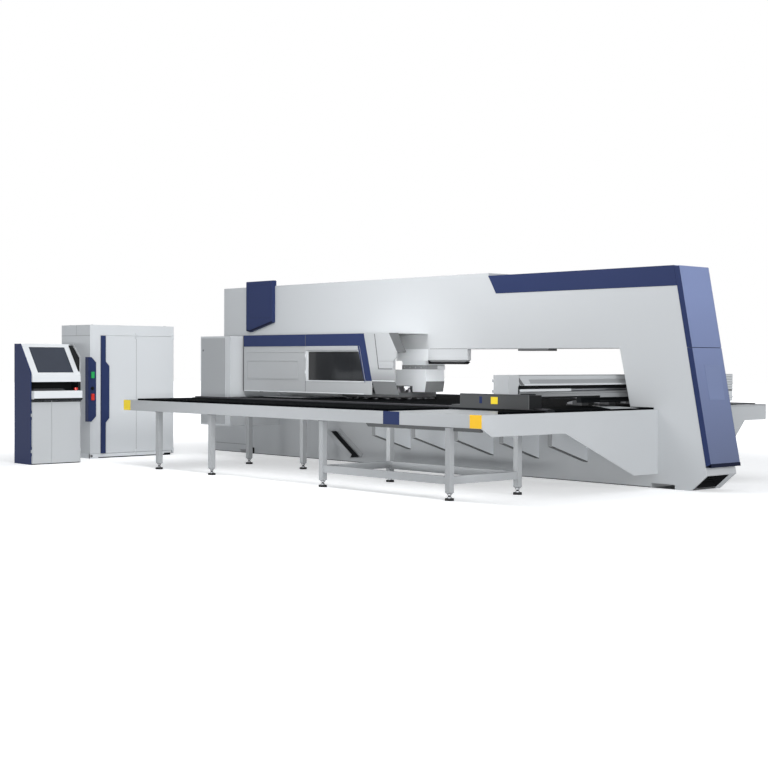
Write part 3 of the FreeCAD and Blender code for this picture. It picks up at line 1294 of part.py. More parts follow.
def panel_button(z):
    """Square push-button with a round stem in its seat."""
    x, y = panel_x(), CAB_FRONT + PANEL_T
    lift = BUTTON_TRAVEL + BUTTON_LIFT
    cap = box(x - BUTTON_W / 2, y + lift, z - BUTTON_H / 2,
              x + BUTTON_W / 2, y + lift + BUTTON_T, z + BUTTON_H / 2)
    return join([cap, rod_y(x, y - STEM, z, STEM, STEM + BUTTON_TRAVEL + 2)])


def mode_switch():
    """Rotary switch with a grip bar."""
    x, y = panel_x(), CAB_FRONT + PANEL_T
    return join([rod_y(x, y - STEM, SWITCH_Z, STEM, STEM + 2),
                 rod_y(x, y + GAP, SWITCH_Z, SWITCH_R, SWITCH_T / 2),
                 box(x - STEM / 2, y + GAP, SWITCH_Z - SWITCH_R,
                     x + STEM / 2, y + SWITCH_T, SWITCH_Z + SWITCH_R)])


# ---------------------------------------------------------------- the whole machine
def build():
    """Every node of the machine by name."""
    top = FRAME_TOP - STRIPE_DROP
    nodes = {
        "main_frame": main_frame(),
        "beam_stripe": beam_stripe(),
        "rear_covers": group([rear_cover(REAR_COVER_SEAM + SEAM, top),
                              rear_cover(REAR_COVER_BOTTOM, REAR_COVER_SEAM)]),
        "sign_plate": sign_plate(),
        "front_box": front_box(),
        "beam_duct": beam_duct(),
        "upper_turret": upper_turret(),
        "upper_tools": upper_tools(),
        "lower_turret": lower_turret(),
        "lower_dies": lower_dies(),
        "turret_shafts": turret_shafts(),
        "turret_drive": turret_drive(),
        "turret_belts": turret_belts(),
        "turret_motor": turret_motor(),
        "ram_housing": ram_housing(),
        "head_guard": head_guard(),
        "ram": ram(),
        "turret_cover_near": near_cover(),
        "turret_cover_far": far(cover_shell(FAR_COVER_REAR_TOP, FAR_COVER_REAR_LOW)),
        "cover_bands": cover_bands(),
        "cover_end": cover_end(),
        "tool_door": door_frame(),
        "door_glass": door_glass(),
        "near_table": side_table(TABLE_X),
        "far_table": far(side_table(FAR_TABLE_X)),
        "centre_table": centre_table(),
        "table_brushes": table_brushes(),
        "wing_plates": wing_plates(),
        "table_legs": table_legs(),
        "levelling_feet": levelling_feet(),
        "shelf_frames": both(shelf_frame, (REAR_LEG_X_IN, TABLE_X - LEG_INSET),
                             (FAR_LEG_X_IN, FAR_TABLE_X - LEG_INSET)),
        "gussets": gussets(),
        "scrap_chute": scrap_chute(),
        "y_guides": both(y_guide, GUIDE_X, FAR_GUIDE_X),
        "y_rails": both(y_rail, GUIDE_X, FAR_GUIDE_X),
        "beam_saddles": group([beam_saddle(GUIDE_X, SADDLE_REAR), far(beam_saddle(FAR_GUIDE_X, BEAM_REAR))]),
        "x_beam": x_beam(),
        "beam_tray": beam_tray(),
        "x_rails": x_rails(),
        "x_carriage": x_carriage(),
        "clamp_bodies": clamp_bodies(),
        "console_body": console_body(),
        "console_side_far": console_sides()[0],
        "console_side_near": console_sides()[1],
        "console_screen": console_screen(),
        "keyboard": keyboard(),
        "stop_button": stop_button(),
        "console_door_narrow": console_door(CON_X0 + CON_SIDE_T, CON_SPLIT_X, -1),
        "console_door_wide": console_door(CON_SPLIT_X, CON_X1 - CON_SIDE_T, 1),
        "cabinet_body": cabinet_body(),
        "cabinet_door_left": cabinet_door(CAB_SPLIT_X, STRIP_X0 + STRIP_W + DOOR_GAP / 2),
        "cabinet_door_right": cabinet_door(CAB_X0, CAB_SPLIT_X),
        "cabinet_handle": cabinet_handle(),
        "control_panel": control_panel(),
        "start_button": panel_button(GREEN_Z),
        "halt_button": panel_button(RED_Z),
        "mode_switch": mode_switch(),
    }
    for i, x in enumerate(CLAMP_XS):
        nodes["clamp_jaw_%d" % (i + 1)] = clamp_jaw(x)
    return nodes


def main():
    os.makedirs("parts", exist_ok=True)
    for name, shape in build().items():
        solids = shape.Solids
        print("%-20s solids %3d  valid %s  volume %.4f m3" % (
            name, len(solids), shape.isValid(), shape.Volume / 1e9))
        out = solids[0] if len(solids) == 1 else Part.makeCompound(solids)
        out.exportStep("parts/" + name + ".step")


main()
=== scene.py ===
import math
import bmesh
import bpy
from mathutils import Matrix, Vector


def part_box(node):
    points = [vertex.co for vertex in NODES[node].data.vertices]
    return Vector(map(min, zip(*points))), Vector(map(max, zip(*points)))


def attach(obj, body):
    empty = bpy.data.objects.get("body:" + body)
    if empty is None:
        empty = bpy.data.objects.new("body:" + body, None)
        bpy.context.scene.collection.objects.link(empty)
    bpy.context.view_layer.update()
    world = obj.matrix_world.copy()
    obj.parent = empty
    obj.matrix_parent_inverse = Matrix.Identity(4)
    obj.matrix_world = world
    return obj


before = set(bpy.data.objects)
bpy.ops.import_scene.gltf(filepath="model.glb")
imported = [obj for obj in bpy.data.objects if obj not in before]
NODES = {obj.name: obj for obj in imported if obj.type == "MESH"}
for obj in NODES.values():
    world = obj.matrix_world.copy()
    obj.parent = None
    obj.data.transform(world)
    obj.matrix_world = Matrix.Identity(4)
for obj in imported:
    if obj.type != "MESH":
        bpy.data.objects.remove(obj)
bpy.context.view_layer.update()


# ---------------------------------------------------------------- node helpers
def new_material(name):
    """An empty material, with its nodes and its links."""
    material = bpy.data.materials.new(name)
    material.use_nodes = True
    return material, material.node_tree.nodes, material.node_tree.links


def add_node(nodes, kind, values=None, **settings):
    """A shader node with its settings, then the constant values of its inputs."""
    node = nodes.new("ShaderNode" + kind)
    for key, value in settings.items():
        setattr(node, key, value)
    for key, value in (values or {}).items():
        node.inputs[key].default_value = value
    return node


# ---------------------------------------------------------------- materials
COAT_ROUGHNESS = 0.15
ROUGH_DRIFT = 0.05


def shader(name, colour, rough, metal=0.0, spec=0.25, var=0.03, scale=3.0, bump=0.0, grain=400.0,
           coat=0.0, edge=0.004, streak=None, grade=None):
    """Procedural finish.

    var and scale rule the slow drift of colour and roughness, bump and grain the fine relief, and
    edge the radius of the softened edges. streak stretches both noises along an axis. grade is
    (z0, z1, share): the colour has that share of its lightness at z0 and all of it from z1 up.
    """
    material, nodes, links = new_material(name)
    main = nodes["Principled BSDF"]
    main.inputs["Metallic"].default_value = metal
    main.inputs["Specular IOR Level"].default_value = spec
    main.inputs["Coat Weight"].default_value = coat
    main.inputs["Coat Roughness"].default_value = COAT_ROUGHNESS
    at = add_node(nodes, "TexCoord")
    place = add_node(nodes, "Mapping", {"Scale": streak} if streak else None)
    links.new(at.outputs["Object"], place.inputs["Vector"])
    drift = add_node(nodes, "TexNoise", {"Scale": scale, "Detail": 4.0})
    links.new(place.outputs[0], drift.inputs["Vector"])
    low = [max(c * (1 - var), 0) for c in colour]
    high = [min(c * (1 + var), 1) for c in colour]
    ramp = add_node(nodes, "Mix", {"A": (*low, 1), "B": (*high, 1)}, data_type="RGBA")
    links.new(drift.outputs["Fac"], ramp.inputs["Factor"])
    out = ramp.outputs["Result"]
    if grade:
        z0, z1, share = grade
        split = add_node(nodes, "SeparateXYZ")
        links.new(at.outputs["Object"], split.inputs[0])
        span = add_node(nodes, "MapRange", {"From Min": z0, "From Max": z1, "To Min": share, "To Max": 1.0})
        links.new(split.outputs["Z"], span.inputs["Value"])
        times = add_node(nodes, "VectorMath", operation="SCALE")
        links.new(out, times.inputs[0])
        links.new(span.outputs[0], times.inputs["Scale"])
        out = times.outputs[0]
    links.new(out, main.inputs["Base Color"])
    level = add_node(nodes, "MapRange", {"To Min": max(rough - ROUGH_DRIFT, 0.02),
                                         "To Max": min(rough + ROUGH_DRIFT, 1.0)})
    links.new(drift.outputs["Fac"], level.inputs["Value"])
    links.new(level.outputs[0], main.inputs["Roughness"])
    normal = add_node(nodes, "Bevel", {"Radius": edge}, samples=4).outputs[0]
    if bump:
        fine = add_node(nodes, "TexNoise", {"Scale": grain, "Detail": 2.0})
        links.new(place.outputs[0], fine.inputs["Vector"])
        relief = add_node(nodes, "Bump", {"Strength": bump, "Distance": 0.001})
        links.new(fine.outputs["Fac"], relief.inputs["Height"])
        links.new(normal, relief.inputs["Normal"])
        normal = relief.outputs[0]
    links.new(normal, main.inputs["Normal"])
    material.diffuse_color = (*colour, 1)
    return material


def grey(v):
    """A slightly cool grey of that lightness."""
    return (v * 0.955, v * 0.99, v * 1.02)


# what several finishes have in common
COATED = dict(var=0.02, scale=1.1, bump=0.10, grain=600)
TRIM = dict(var=0.02, scale=2.0, bump=0.08, grain=600)
WELDED = dict(var=0.03, scale=1.6, bump=0.12, grain=500)
MATT = dict(var=0.04, scale=2.0, bump=0.12, grain=500)
DULL = dict(var=0.05, scale=2.0, bump=0.15, grain=500)
GLOSSY = dict(var=0.04, scale=1.0, bump=0.08, grain=600)
FILM = dict(var=0.04, scale=6.0, bump=0.06, grain=700)
GROUND = dict(metal=1.0, var=0.08, scale=8.0, bump=0.25, grain=250, streak=(1, 0.08, 1))
MOULDED = dict(var=0.10, scale=20.0, bump=0.2, grain=600)
BUTTON = dict(var=0.06, scale=20.0, coat=0.3)

# frame grey; its grade is painted shade that darkens the frame towards the floor
PAINT = shader("frame_grey", grey(0.54), 0.42, var=0.02, scale=0.7, bump=0.12, grain=500, edge=0.006,
               grade=(0.0, 1.1, 0.88))
COVER = shader("cover_grey", grey(0.40), 0.40, **COATED)
DOORPAINT = shader("door_grey", grey(0.64), 0.40, **COATED)
# end grey; its grade is painted shade, darker from z 1.25 down to the inward-sloping skirt below z 1.05
ENDPAINT = shader("end_grey", grey(0.42), 0.40, grade=(1.05, 1.25, 0.54), **COATED)
CABINET = shader("cabinet_grey", grey(0.64), 0.40, **COATED)
BOXPAINT = shader("box_grey", grey(0.53), 0.42, **COATED)
BOXDOOR = shader("box_door_grey", grey(0.365), 0.42, **COATED)
HEADPAINT = shader("head_grey", grey(0.78), 0.38, **TRIM)
PALE = shader("pale_trim", grey(0.72), 0.40, **TRIM)
LEAF = shader("console_leaf", grey(0.49), 0.40, **TRIM)
STRIP = shader("strip_grey", grey(0.41), 0.40, **TRIM)
PLATE = shader("table_grey", grey(0.43), 0.45, **WELDED)
WINGPAINT = shader("wing_grey", grey(0.505), 0.45, **WELDED)
LEGPAINT = shader("leg_grey", grey(0.38), 0.45, **WELDED)
BEAMPAINT = shader("beam_grey", grey(0.49), 0.42, **WELDED)
# gusset grey, lighter than the frame grey: painted light that lifts the shade under the tables
UNDER_PAINTED_LIGHT = shader("under_painted_light", grey(0.80), 0.45, **WELDED)
MIDGREY = shader("mid_grey", grey(0.30), 0.45, **MATT)
# dark grey of the guard's lower facet: painted shade
FACET_SHADE = shader("facet_shade_grey", grey(0.20), 0.45, **MATT)
SHADE = shader("shade_grey", grey(0.12), 0.50, **DULL)
SLIDE = shader("slide_grey", grey(0.075), 0.50, **DULL)
HATCH = shader("hatch_blue", (0.158, 0.199, 0.345), 0.40, **GLOSSY)
BLUE = shader("rear_blue", (0.195, 0.246, 0.44), 0.36, grade=(0.3, 2.0, 0.50), **GLOSSY)
NAVY = shader("navy_paint", (0.024, 0.036, 0.102), 0.45, spec=0.10, var=0.06, scale=1.5, bump=0.08,
              grain=600)
DEEP = shader("deep_navy", (0.006, 0.009, 0.026), 0.55, spec=0.06, var=0.06, scale=2.0, bump=0.08,
              grain=600)
DARK = shader("dark_paint", (0.012, 0.014, 0.016), 0.55, spec=0.10, var=0.10, scale=3.0, bump=0.15,
              grain=500)
AMBER = shader("amber_film", (0.88, 0.52, 0.03), 0.45, **FILM)
YELLOW = shader("yellow_film", (0.90, 0.68, 0.04), 0.45, **FILM)
BRUSH = shader("bristle", (0.002, 0.0025, 0.003), 0.95, spec=0.02, var=0.5, scale=300.0, bump=0.8,
               grain=900, edge=0.001)
STEEL = shader("machined_steel", (0.42, 0.43, 0.45), 0.32, **GROUND)
RAIL = shader("oiled_rail", (0.10, 0.10, 0.11), 0.42, **GROUND)
TOOL = shader("tool_steel", (0.13, 0.13, 0.14), 0.48, metal=1.0, var=0.15, scale=10.0, bump=0.15,
              grain=300)
IRON = shader("cast_iron", (0.085, 0.088, 0.092), 0.60, var=0.20, scale=12.0, bump=0.55, grain=180)
ALU = shader("bare_alu", (0.56, 0.57, 0.58), 0.35, metal=1.0, var=0.05, scale=5.0, bump=0.2,
             grain=250, streak=(0.06, 1, 1))
SCREEN = shader("screen_glass", (0.038, 0.045, 0.062), 0.40, spec=0.12, var=0.10, scale=4.0,
                edge=0.001)
BLACK = shader("black_plastic", (0.008, 0.009, 0.010), 0.55, spec=0.12, **MOULDED)
KEYS = shader("key_plastic", (0.040, 0.042, 0.046), 0.45, **MOULDED)
RED = shader("red_plastic", (0.62, 0.030, 0.020), 0.32, **BUTTON)
GREEN = shader("green_plastic", (0.020, 0.38, 0.10), 0.32, **BUTTON)
BELT = shader("belt_rubber", (0.018, 0.018, 0.019), 0.75, var=0.2, scale=40.0, bump=0.5, grain=500)
RUBBER = shader("foot_rubber", (0.022, 0.022, 0.023), 0.80, var=0.2, scale=30.0, bump=0.4, grain=400)


def glass_finish():
    """Smoked pane that lets the turret show through darkly."""
    material, nodes, links = new_material("smoked_pane")
    main = nodes["Principled BSDF"]
    main.inputs["Base Color"].default_value = (0.035, 0.037, 0.040, 1)
    main.inputs["Coat Weight"].default_value = 0.3
    at = add_node(nodes, "TexCoord")
    noise = add_node(nodes, "TexNoise", {"Scale": 1.2})
    links.new(at.outputs["Object"], noise.inputs["Vector"])
    level = add_node(nodes, "MapRange", {"To Min": 0.06, "To Max": 0.14})
    links.new(noise.outputs["Fac"], level.inputs["Value"])
    links.new(level.outputs[0], main.inputs["Roughness"])
    clear = add_node(nodes, "BsdfTransparent", {"Color": (0.30, 0.31, 0.33, 1)})
    mix = add_node(nodes, "MixShader", {0: 0.45})
    links.new(main.outputs[0], mix.inputs[1])
    links.new(clear.outputs[0], mix.inputs[2])
    links.new(mix.outputs[0], nodes["Material Output"].inputs[0])
    material.diffuse_color = (0.03, 0.03, 0.035, 1)
    return material


PANE = glass_finish()

FINISH = {
    PAINT: ("main_frame", "beam_duct"),
    BOXPAINT: ("front_box",),
    COVER: ("turret_cover_near", "turret_cover_far", "console_side_far"),
    DOORPAINT: ("tool_door",),
    ENDPAINT: ("cover_end",),
    HEADPAINT: ("head_guard", "ram_housing"),
    CABINET: ("cabinet_body", "cabinet_door_left", "cabinet_door_right"),
    PLATE: ("near_table", "far_table", "centre_table", "scrap_chute"),
    WINGPAINT: ("wing_plates",),
    LEGPAINT: ("table_legs", "shelf_frames"),
    UNDER_PAINTED_LIGHT: ("gussets",),
    BEAMPAINT: ("x_beam",),
    NAVY: ("beam_stripe", "sign_plate", "cover_bands", "console_side_near", "cabinet_handle",
           "control_panel"),
    BLUE: ("rear_covers",),
    BRUSH: ("table_brushes",),
    DARK: ("x_carriage", "turret_motor", "y_guides"),
    MIDGREY: ("beam_tray",),
    SLIDE: ("beam_saddles",),
    STEEL: ("x_rails", "ram", "turret_shafts", "clamp_jaw_1", "clamp_jaw_2", "clamp_jaw_3"),
    RAIL: ("y_rails",),
    TOOL: ("upper_tools", "lower_dies"),
    IRON: ("upper_turret", "lower_turret", "clamp_bodies"),
    ALU: ("turret_drive",),
    BELT: ("turret_belts",),
    PANE: ("door_glass",),
    SCREEN: ("console_screen",),
    BLACK: ("mode_switch",),
    KEYS: ("keyboard",),
    RED: ("stop_button", "halt_button"),
    GREEN: ("start_button",),
    RUBBER: ("levelling_feet",),
    PALE: ("console_body",),
    LEAF: ("console_door_wide", "console_door_narrow"),
}
for finish, names in FINISH.items():
    for name in names:
        for s in NODES[name].material_slots:
            s.material = finish
        if not NODES[name].material_slots:
            NODES[name].data.materials.append(finish)
missing = [n for n in NODES if not any(n in names for names in FINISH.values())]
assert not missing, missing


# ---------------------------------------------------------------- piece helpers
BEVEL_SEGMENTS = 2
BEVEL_FROM = math.radians(40)


def add_object(name, data):
    """A new object in the scene."""
    obj = bpy.data.objects.new(name, data)
    bpy.context.scene.collection.objects.link(obj)
    return obj


def finish_piece(name, bm, mat, body, bevel=0.0):
    """Turns a bmesh into a piece that rides on a body."""
    bmesh.ops.recalc_face_normals(bm, faces=bm.faces)
    mesh = bpy.data.meshes.new(name)
    bm.to_mesh(mesh)
    bm.free()
    piece = add_object(name, mesh)
    mesh.materials.append(mat)
    if bevel:
        mod = piece.modifiers.new("soft", "BEVEL")
        mod.width = bevel
        mod.segments = BEVEL_SEGMENTS
        mod.limit_method = "ANGLE"
        mod.angle_limit = BEVEL_FROM
    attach(piece, body)


def across(axis, p, t):
    """The point at t along an axis and at p in the other two axes, in order."""
    return {"x": (t, p[0], p[1]), "y": (p[0], t, p[1]), "z": (p[0], p[1], t)}[axis]


def close_prism(bm, low, high):
    """Both ends and all sides between two rings of vertices."""
    bm.faces.new(low)
    bm.faces.new(high[::-1])
    for i in range(len(low)):
        j = (i + 1) % len(low)
        bm.faces.new((low[j], low[i], high[i], high[j]))


def add_prism(bm, outline, axis, a, b):
    """An outline swept along an axis from a to b."""
    low = [bm.verts.new(across(axis, p, a)) for p in outline]
    high = [bm.verts.new(across(axis, p, b)) for p in outline]
    close_prism(bm, low, high)


def add_ring(bm, outer, inner, axis, a, b):
    """A frame between two outlines of as many points, swept along an axis."""
    loops = [[bm.verts.new(across(axis, p, t)) for p in points]
             for points, t in ((outer, a), (inner, a), (outer, b), (inner, b))]
    for i in range(len(outer)):
        j = (i + 1) % len(outer)
        oa, ia, ob, ib = ((loop[i], loop[j]) for loop in loops)
        bm.faces.new((oa[0], oa[1], ia[1], ia[0]))
        bm.faces.new((ob[1], ob[0], ib[0], ib[1]))
        bm.faces.new((oa[1], oa[0], ob[0], ob[1]))
        bm.faces.new((ia[0], ia[1], ib[1], ib[0]))


def rect(a0, b0, a1, b1):
    """Corners of a rectangle."""
    return [(a0, b0), (a1, b0), (a1, b1), (a0, b1)]


def band(points, width):
    """Outline of a strip that runs along an open line of points."""
    left_side, right_side = [], []
    for i, (a, b) in enumerate(points):
        a0, b0 = points[max(i - 1, 0)]
        a1, b1 = points[min(i + 1, len(points) - 1)]
        run = math.hypot(a1 - a0, b1 - b0)
        na, nb = -(b1 - b0) / run * width / 2, (a1 - a0) / run * width / 2
        left_side.append((a + na, b + nb))
        right_side.append((a - na, b - nb))
    return left_side + right_side[::-1]


def prisms(name, outlines, axis, a, b, mat, body="machine", bevel=0.002):
    """One piece of one or more swept outlines."""
    bm = bmesh.new()
    for outline in outlines:
        add_prism(bm, outline, axis, a, b)
    finish_piece(name, bm, mat, body, bevel)


def blocks(name, boxes, mat, body="machine", bevel=0.002):
    """One piece of bevelled blocks, each given by its two corners."""
    bm = bmesh.new()
    for x0, y0, z0, x1, y1, z1 in boxes:
        add_prism(bm, rect(x0, y0, x1, y1), "z", z0, z1)
    finish_piece(name, bm, mat, body, bevel)


def ridge(name, corners, axis, a, b, width, mat, bevel=0.001):
    """A raised frame along a rectangle."""
    a0, b0, a1, b1 = corners
    bm = bmesh.new()
    add_ring(bm, rect(a0, b0, a1, b1), rect(a0 + width, b0 + width, a1 - width, b1 - width), axis, a, b)
    finish_piece(name, bm, mat, "machine", bevel)


def discs(name, spots, axis, r, h, mat, body="machine", sides=20, socket=0.0):
    """Round heads on a face, each with a round socket of that radius if one is given."""
    bm = bmesh.new()
    turn = {"x": Matrix.Rotation(math.pi / 2, 4, "Y"), "y": Matrix.Rotation(-math.pi / 2, 4, "X"),
            "z": Matrix.Identity(4)}[axis]
    angles = [2 * math.pi * i / sides for i in range(sides)]
    for spot in spots:
        head = bmesh.new()
        face = head.faces.new([head.verts.new((r * math.cos(t), r * math.sin(t), 0)) for t in angles])
        out = bmesh.ops.extrude_face_region(head, geom=[face])
        top = [v for v in out["geom"] if isinstance(v, bmesh.types.BMVert)]
        bmesh.ops.translate(head, verts=top, vec=(0, 0, h))
        if socket:
            lid = [f for f in head.faces if all(v in top for v in f.verts)][0]
            bmesh.ops.inset_region(head, faces=[lid], thickness=r - socket)
            bmesh.ops.translate(head, verts=lid.verts, vec=(0, 0, -h * 0.5))
        bmesh.ops.transform(head, matrix=Matrix.Translation(spot) @ turn, verts=head.verts)
        temp = bpy.data.meshes.new("temp")
        head.to_mesh(temp)
        head.free()
        bm.from_mesh(temp)
        bpy.data.meshes.remove(temp)
    finish_piece(name, bm, mat, body, 0.001)


def louvres(name, x0, x1, z0, z1, y, rows, mat):
    """Rows of pressed louvres on an upright face that looks along -Y."""
    bm = bmesh.new()
    pitch = (z1 - z0) / rows
    for i in range(rows):
        top = z0 + i * pitch + pitch * 0.75
        lip = z0 + i * pitch + pitch * 0.15
        add_prism(bm, [(y, top), (y - 0.014, lip), (y, lip)], "x", x0, x1)
    finish_piece(name, bm, mat, "machine", 0.001)


def lo(node):
    """Lower corner of a node's box."""
    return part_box(node)[0]


def hi(node):
    """Upper corner of a node's box."""
    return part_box(node)[1]


# ---------------------------------------------------------------- places on the machine, in metres
HALF = hi("main_frame")[0]
COVER_X = hi("cover_bands")[0] - 0.003
APRON_X = hi("near_table")[0]
BOX_X = hi("front_box")[0]
SADDLE_X = hi("beam_saddles")[0]
HEAD_X, HEAD_Y = hi("head_guard")[0], hi("head_guard")[1]
BEAM_X0, BEAM_X1 = lo("x_beam")[0], hi("x_beam")[0]
DECK_Z = hi("table_brushes")[2]
PATCH = 0.0018          # thickness of the bare patches
SEAM = 0.002            # height of a line over the face that it is on


# ---------------------------------------------------------------- rear of the frame
REAR_TOP_Y, REAR_TOP_Z = 4.045, hi("main_frame")[2]     # top edge of the leaning rear face
REAR_TAN = math.tan(math.radians(11.3))
FLANGE = 0.065          # reach of the rear covers' side flanges
COVER_FOOT = lo("rear_covers")[2]
COVER_FOLD = COVER_FOOT + 0.024


def rear_y(z):
    """Y of the leaning rear face at height z."""
    return REAR_TOP_Y + (REAR_TOP_Z - z) * REAR_TAN


def rear_sheet(z0, z1, d0, d1):
    """Outline of a sheet along the rear face, between two heights and two distances off it."""
    return [(rear_y(z0) + d0, z0), (rear_y(z0) + d1, z0), (rear_y(z1) + d1, z1), (rear_y(z1) + d0, z1)]


for tag, a, b in (("near", HALF, HALF + 0.003), ("far", -HALF - 0.003, -HALF)):
    prisms("rear_flange_" + tag, [rear_sheet(0.266, 1.453, 0, FLANGE), rear_sheet(1.463, 2.294, 0, FLANGE)],
           "x", a, b, NAVY)
prisms("rear_cover_foot",
       [[(rear_y(COVER_FOOT), COVER_FOOT - 0.014), (rear_y(COVER_FOOT) + 0.070, COVER_FOOT - 0.014),
         (rear_y(COVER_FOLD) + 0.070, COVER_FOLD), (rear_y(COVER_FOLD) + FLANGE, COVER_FOLD),
         (rear_y(COVER_FOOT) + FLANGE, COVER_FOOT), (rear_y(COVER_FOOT), COVER_FOOT)]],
       "x", -HALF - 0.004, HALF + 0.004, DEEP)
prisms("rear_hatch", [rear_sheet(0.925, 1.28, 0.064, 0.067)], "x", -0.165, 0.098, HATCH)
prisms("rear_seam", [rear_sheet(1.4552, 1.4608, 0, 0.057)], "x", -HALF, HALF, DEEP,
       bevel=0)

# painted shade in the opening in the chamfer below the rear face: dark lining and a dark strip on its rim;
# and the opening's bars
CHAMFER_Y, CHAMFER_Z = 0.195, 0.168
VENT_X0, VENT_X1 = -0.145, 0.233
VENT_TOP, VENT_FOOT, VENT_DEPTH = 0.0125, 0.2220, 0.14      # down the chamfer, and into the frame
LINING = 0.002
down = Vector((-CHAMFER_Y, -CHAMFER_Z)).normalized()
inward = Vector((-CHAMFER_Z, CHAMFER_Y)).normalized()


def vent_rect(a0, d0, a1, d1):
    """Outline between two distances down the chamfer and two depths behind it."""
    return [(rear_y(CHAMFER_Z) + down.x * a + inward.x * d, CHAMFER_Z + down.y * a + inward.y * d)
            for a, d in rect(a0, d0, a1, d1)]


prisms("vent_back", [vent_rect(0.012, VENT_DEPTH, VENT_FOOT, VENT_DEPTH + 0.01)], "x", VENT_X0, VENT_X1,
       BLACK)
prisms("vent_walls", [vent_rect(a, LINING, a + LINING, VENT_DEPTH) for a in (VENT_TOP, VENT_FOOT - LINING)],
       "x", VENT_X0, VENT_X1, BLACK, bevel=0)
for tag, x in (("near", VENT_X1 - LINING), ("far", VENT_X0)):
    prisms("vent_side_" + tag, [vent_rect(VENT_TOP, LINING, VENT_FOOT, VENT_DEPTH)], "x", x, x + LINING,
           BLACK, bevel=0)
prisms("vent_rim_shade", [vent_rect(0.2225, -0.0012, 0.2430, 0.0006)], "x", VENT_X0, 0.240, BLACK,
       bevel=0)
prisms("vent_bars", [vent_rect(a, 0.05, a + 0.006, 0.056) for a in (0.05, 0.09, 0.13, 0.17)],
       "x", VENT_X0, VENT_X1, DARK)

# ---------------------------------------------------------------- rest of the frame
blocks("beam_pads", [(0.10, 1.908, 1.428, HALF + 0.001, 2.358, 1.4549)], SHADE)
blocks("toe_foot", [(HALF - 0.10, -3.150, 0.0, HALF + 0.012, -3.060, 0.085)], BLACK,
       bevel=0.006)
# grey sheets on the floor inside the two fork pockets: painted shadow
blocks("pocket_floor_shadow", [(-0.253, y, 0.0002, 0.253, y + 0.296, 0.0014) for y in (3.787, -3.398)],
       MIDGREY, bevel=0)
# dark line along the bottom of the frame's near side: painted contact shadow
prisms("frame_base_shadow", [rect(-4.052, 0.0, -3.405, 0.010), rect(-3.095, 0.0, 3.780, 0.010)],
       "x", HALF - 0.004, HALF + SEAM, SHADE, bevel=0)
prisms("toe_line", [rect(-4.050, 0.118, -3.16, 0.123)], "x", HALF - 0.002, HALF + 0.001, SHADE,
       bevel=0)

# shield on the beam: folded foot and the rim of its field
SIGN_Y0, SIGN_Z0 = lo("sign_plate")[1:]
SIGN_X, SIGN_Y1, SIGN_Z1 = hi("sign_plate")
prisms("sign_foot", [band([(SIGN_Y0 + 0.008, SIGN_Z0 + 0.026), (SIGN_Y0 + 0.080, SIGN_Z0 + 0.014),
                           (SIGN_Y1 - 0.004, SIGN_Z0 + 0.138)], 0.022)],
       "x", SIGN_X - 0.002, SIGN_X + 0.003, DEEP)
ridge("sign_rim", (SIGN_Y0 + 0.045, SIGN_Z0 + 0.19, SIGN_Y1 - 0.045, SIGN_Z1 - 0.045), "x",
      SIGN_X, SIGN_X + 0.002, 0.006, NAVY)

# front box: door leaf, two locks and the seam behind it
LEAF_Z0, LEAF_Z1, LEAF_OUT = 0.455, 1.605, BOX_X + 0.003
blocks("box_door", [(BOX_X, -3.150, LEAF_Z0, LEAF_OUT, -2.600, LEAF_Z1)], BOXDOOR,
       bevel=0.0025)
discs("box_lock", [(LEAF_OUT, -3.105, z) for z in (0.62, 1.44)], "x", 0.013, 0.004, SHADE,
      socket=0.006)
blocks("box_seam", [(BOX_X, -2.597, LEAF_Z0, BOX_X + 0.001, -2.592, LEAF_Z1)], PALE,
       bevel=0)

# duct below the beam: a black prism under it is painted shade of its underside; a dark seam at its top
prisms("duct_under_shade", [[(0.452, 1.298), (0.440, 1.318), (0.436, 1.318), (0.448, 1.272), (1.062, 1.272),
                      (1.100, 1.300), (1.085, 1.304), (1.055, 1.298)]],
       "x", HALF - 0.058, HALF + 0.001, BLACK)
prisms("duct_seam", [rect(0.470, 1.4545, 1.105, 1.459)], "x", HALF, HALF + SEAM, SHADE,
       bevel=0)

# ---------------------------------------------------------------- turret covers
COVER_Y0 = -2.438       # front end of the near cover's lines
DOOR_LINE = -1.1335     # gap between cover panel and tool door
blocks("cover_gap", [(COVER_X - 0.012, -2.449, 0.90, COVER_X + 0.004, -2.4412, 1.638)], BLACK,
       bevel=0)
blocks("cover_split", [(COVER_X - 0.002, DOOR_LINE - 0.003, z0, COVER_X + x, DOOR_LINE + 0.003, z1)
                       for z0, x, z1 in ((0.901, 0.0008, 1.100), (1.4915, 0.0042, 1.639))],
       SHADE, bevel=0)
blocks("panel_press_top", [(COVER_X, -2.398, 1.411, COVER_X + 0.0045, -1.160, 1.421)], COVER)
ridge("panel_press_ring", (-2.370, 1.060, -1.275, 1.310), "x", COVER_X, COVER_X + 0.0055, 0.012, COVER,
      bevel=0.002)
blocks("panel_press_field", [(COVER_X, -2.355, 1.075, COVER_X + 0.0025, -1.290, 1.295)], COVER)
blocks("panel_latch", [(COVER_X - 0.03, -2.088, 0.890, COVER_X + 0.005, -2.052, 0.902)], SHADE)
# pale strip along the cover's bottom edge: painted highlight
blocks("cover_edge_highlight", [(COVER_X, COVER_Y0, 0.900, COVER_X + 0.002, -0.01, 0.910)], PALE, bevel=0.001)
blocks("cover_rail_line", [(COVER_X + 0.0005, COVER_Y0, 1.484, COVER_X + 0.0035, -0.13, 1.4895)], STRIP,
       bevel=0)
prisms("door_leg", [[(-0.128, 1.487), (-0.1015, 1.487), (0.0145, 1.049), (0.003, 1.049)]],
       "x", COVER_X, COVER_X + 0.003, NAVY, "tool_door", 0.001)
blocks("door_grip", [(COVER_X, -1.112, 1.434, COVER_X + 0.014, -0.122, 1.485)], STRIP, "tool_door",
       bevel=0.005)

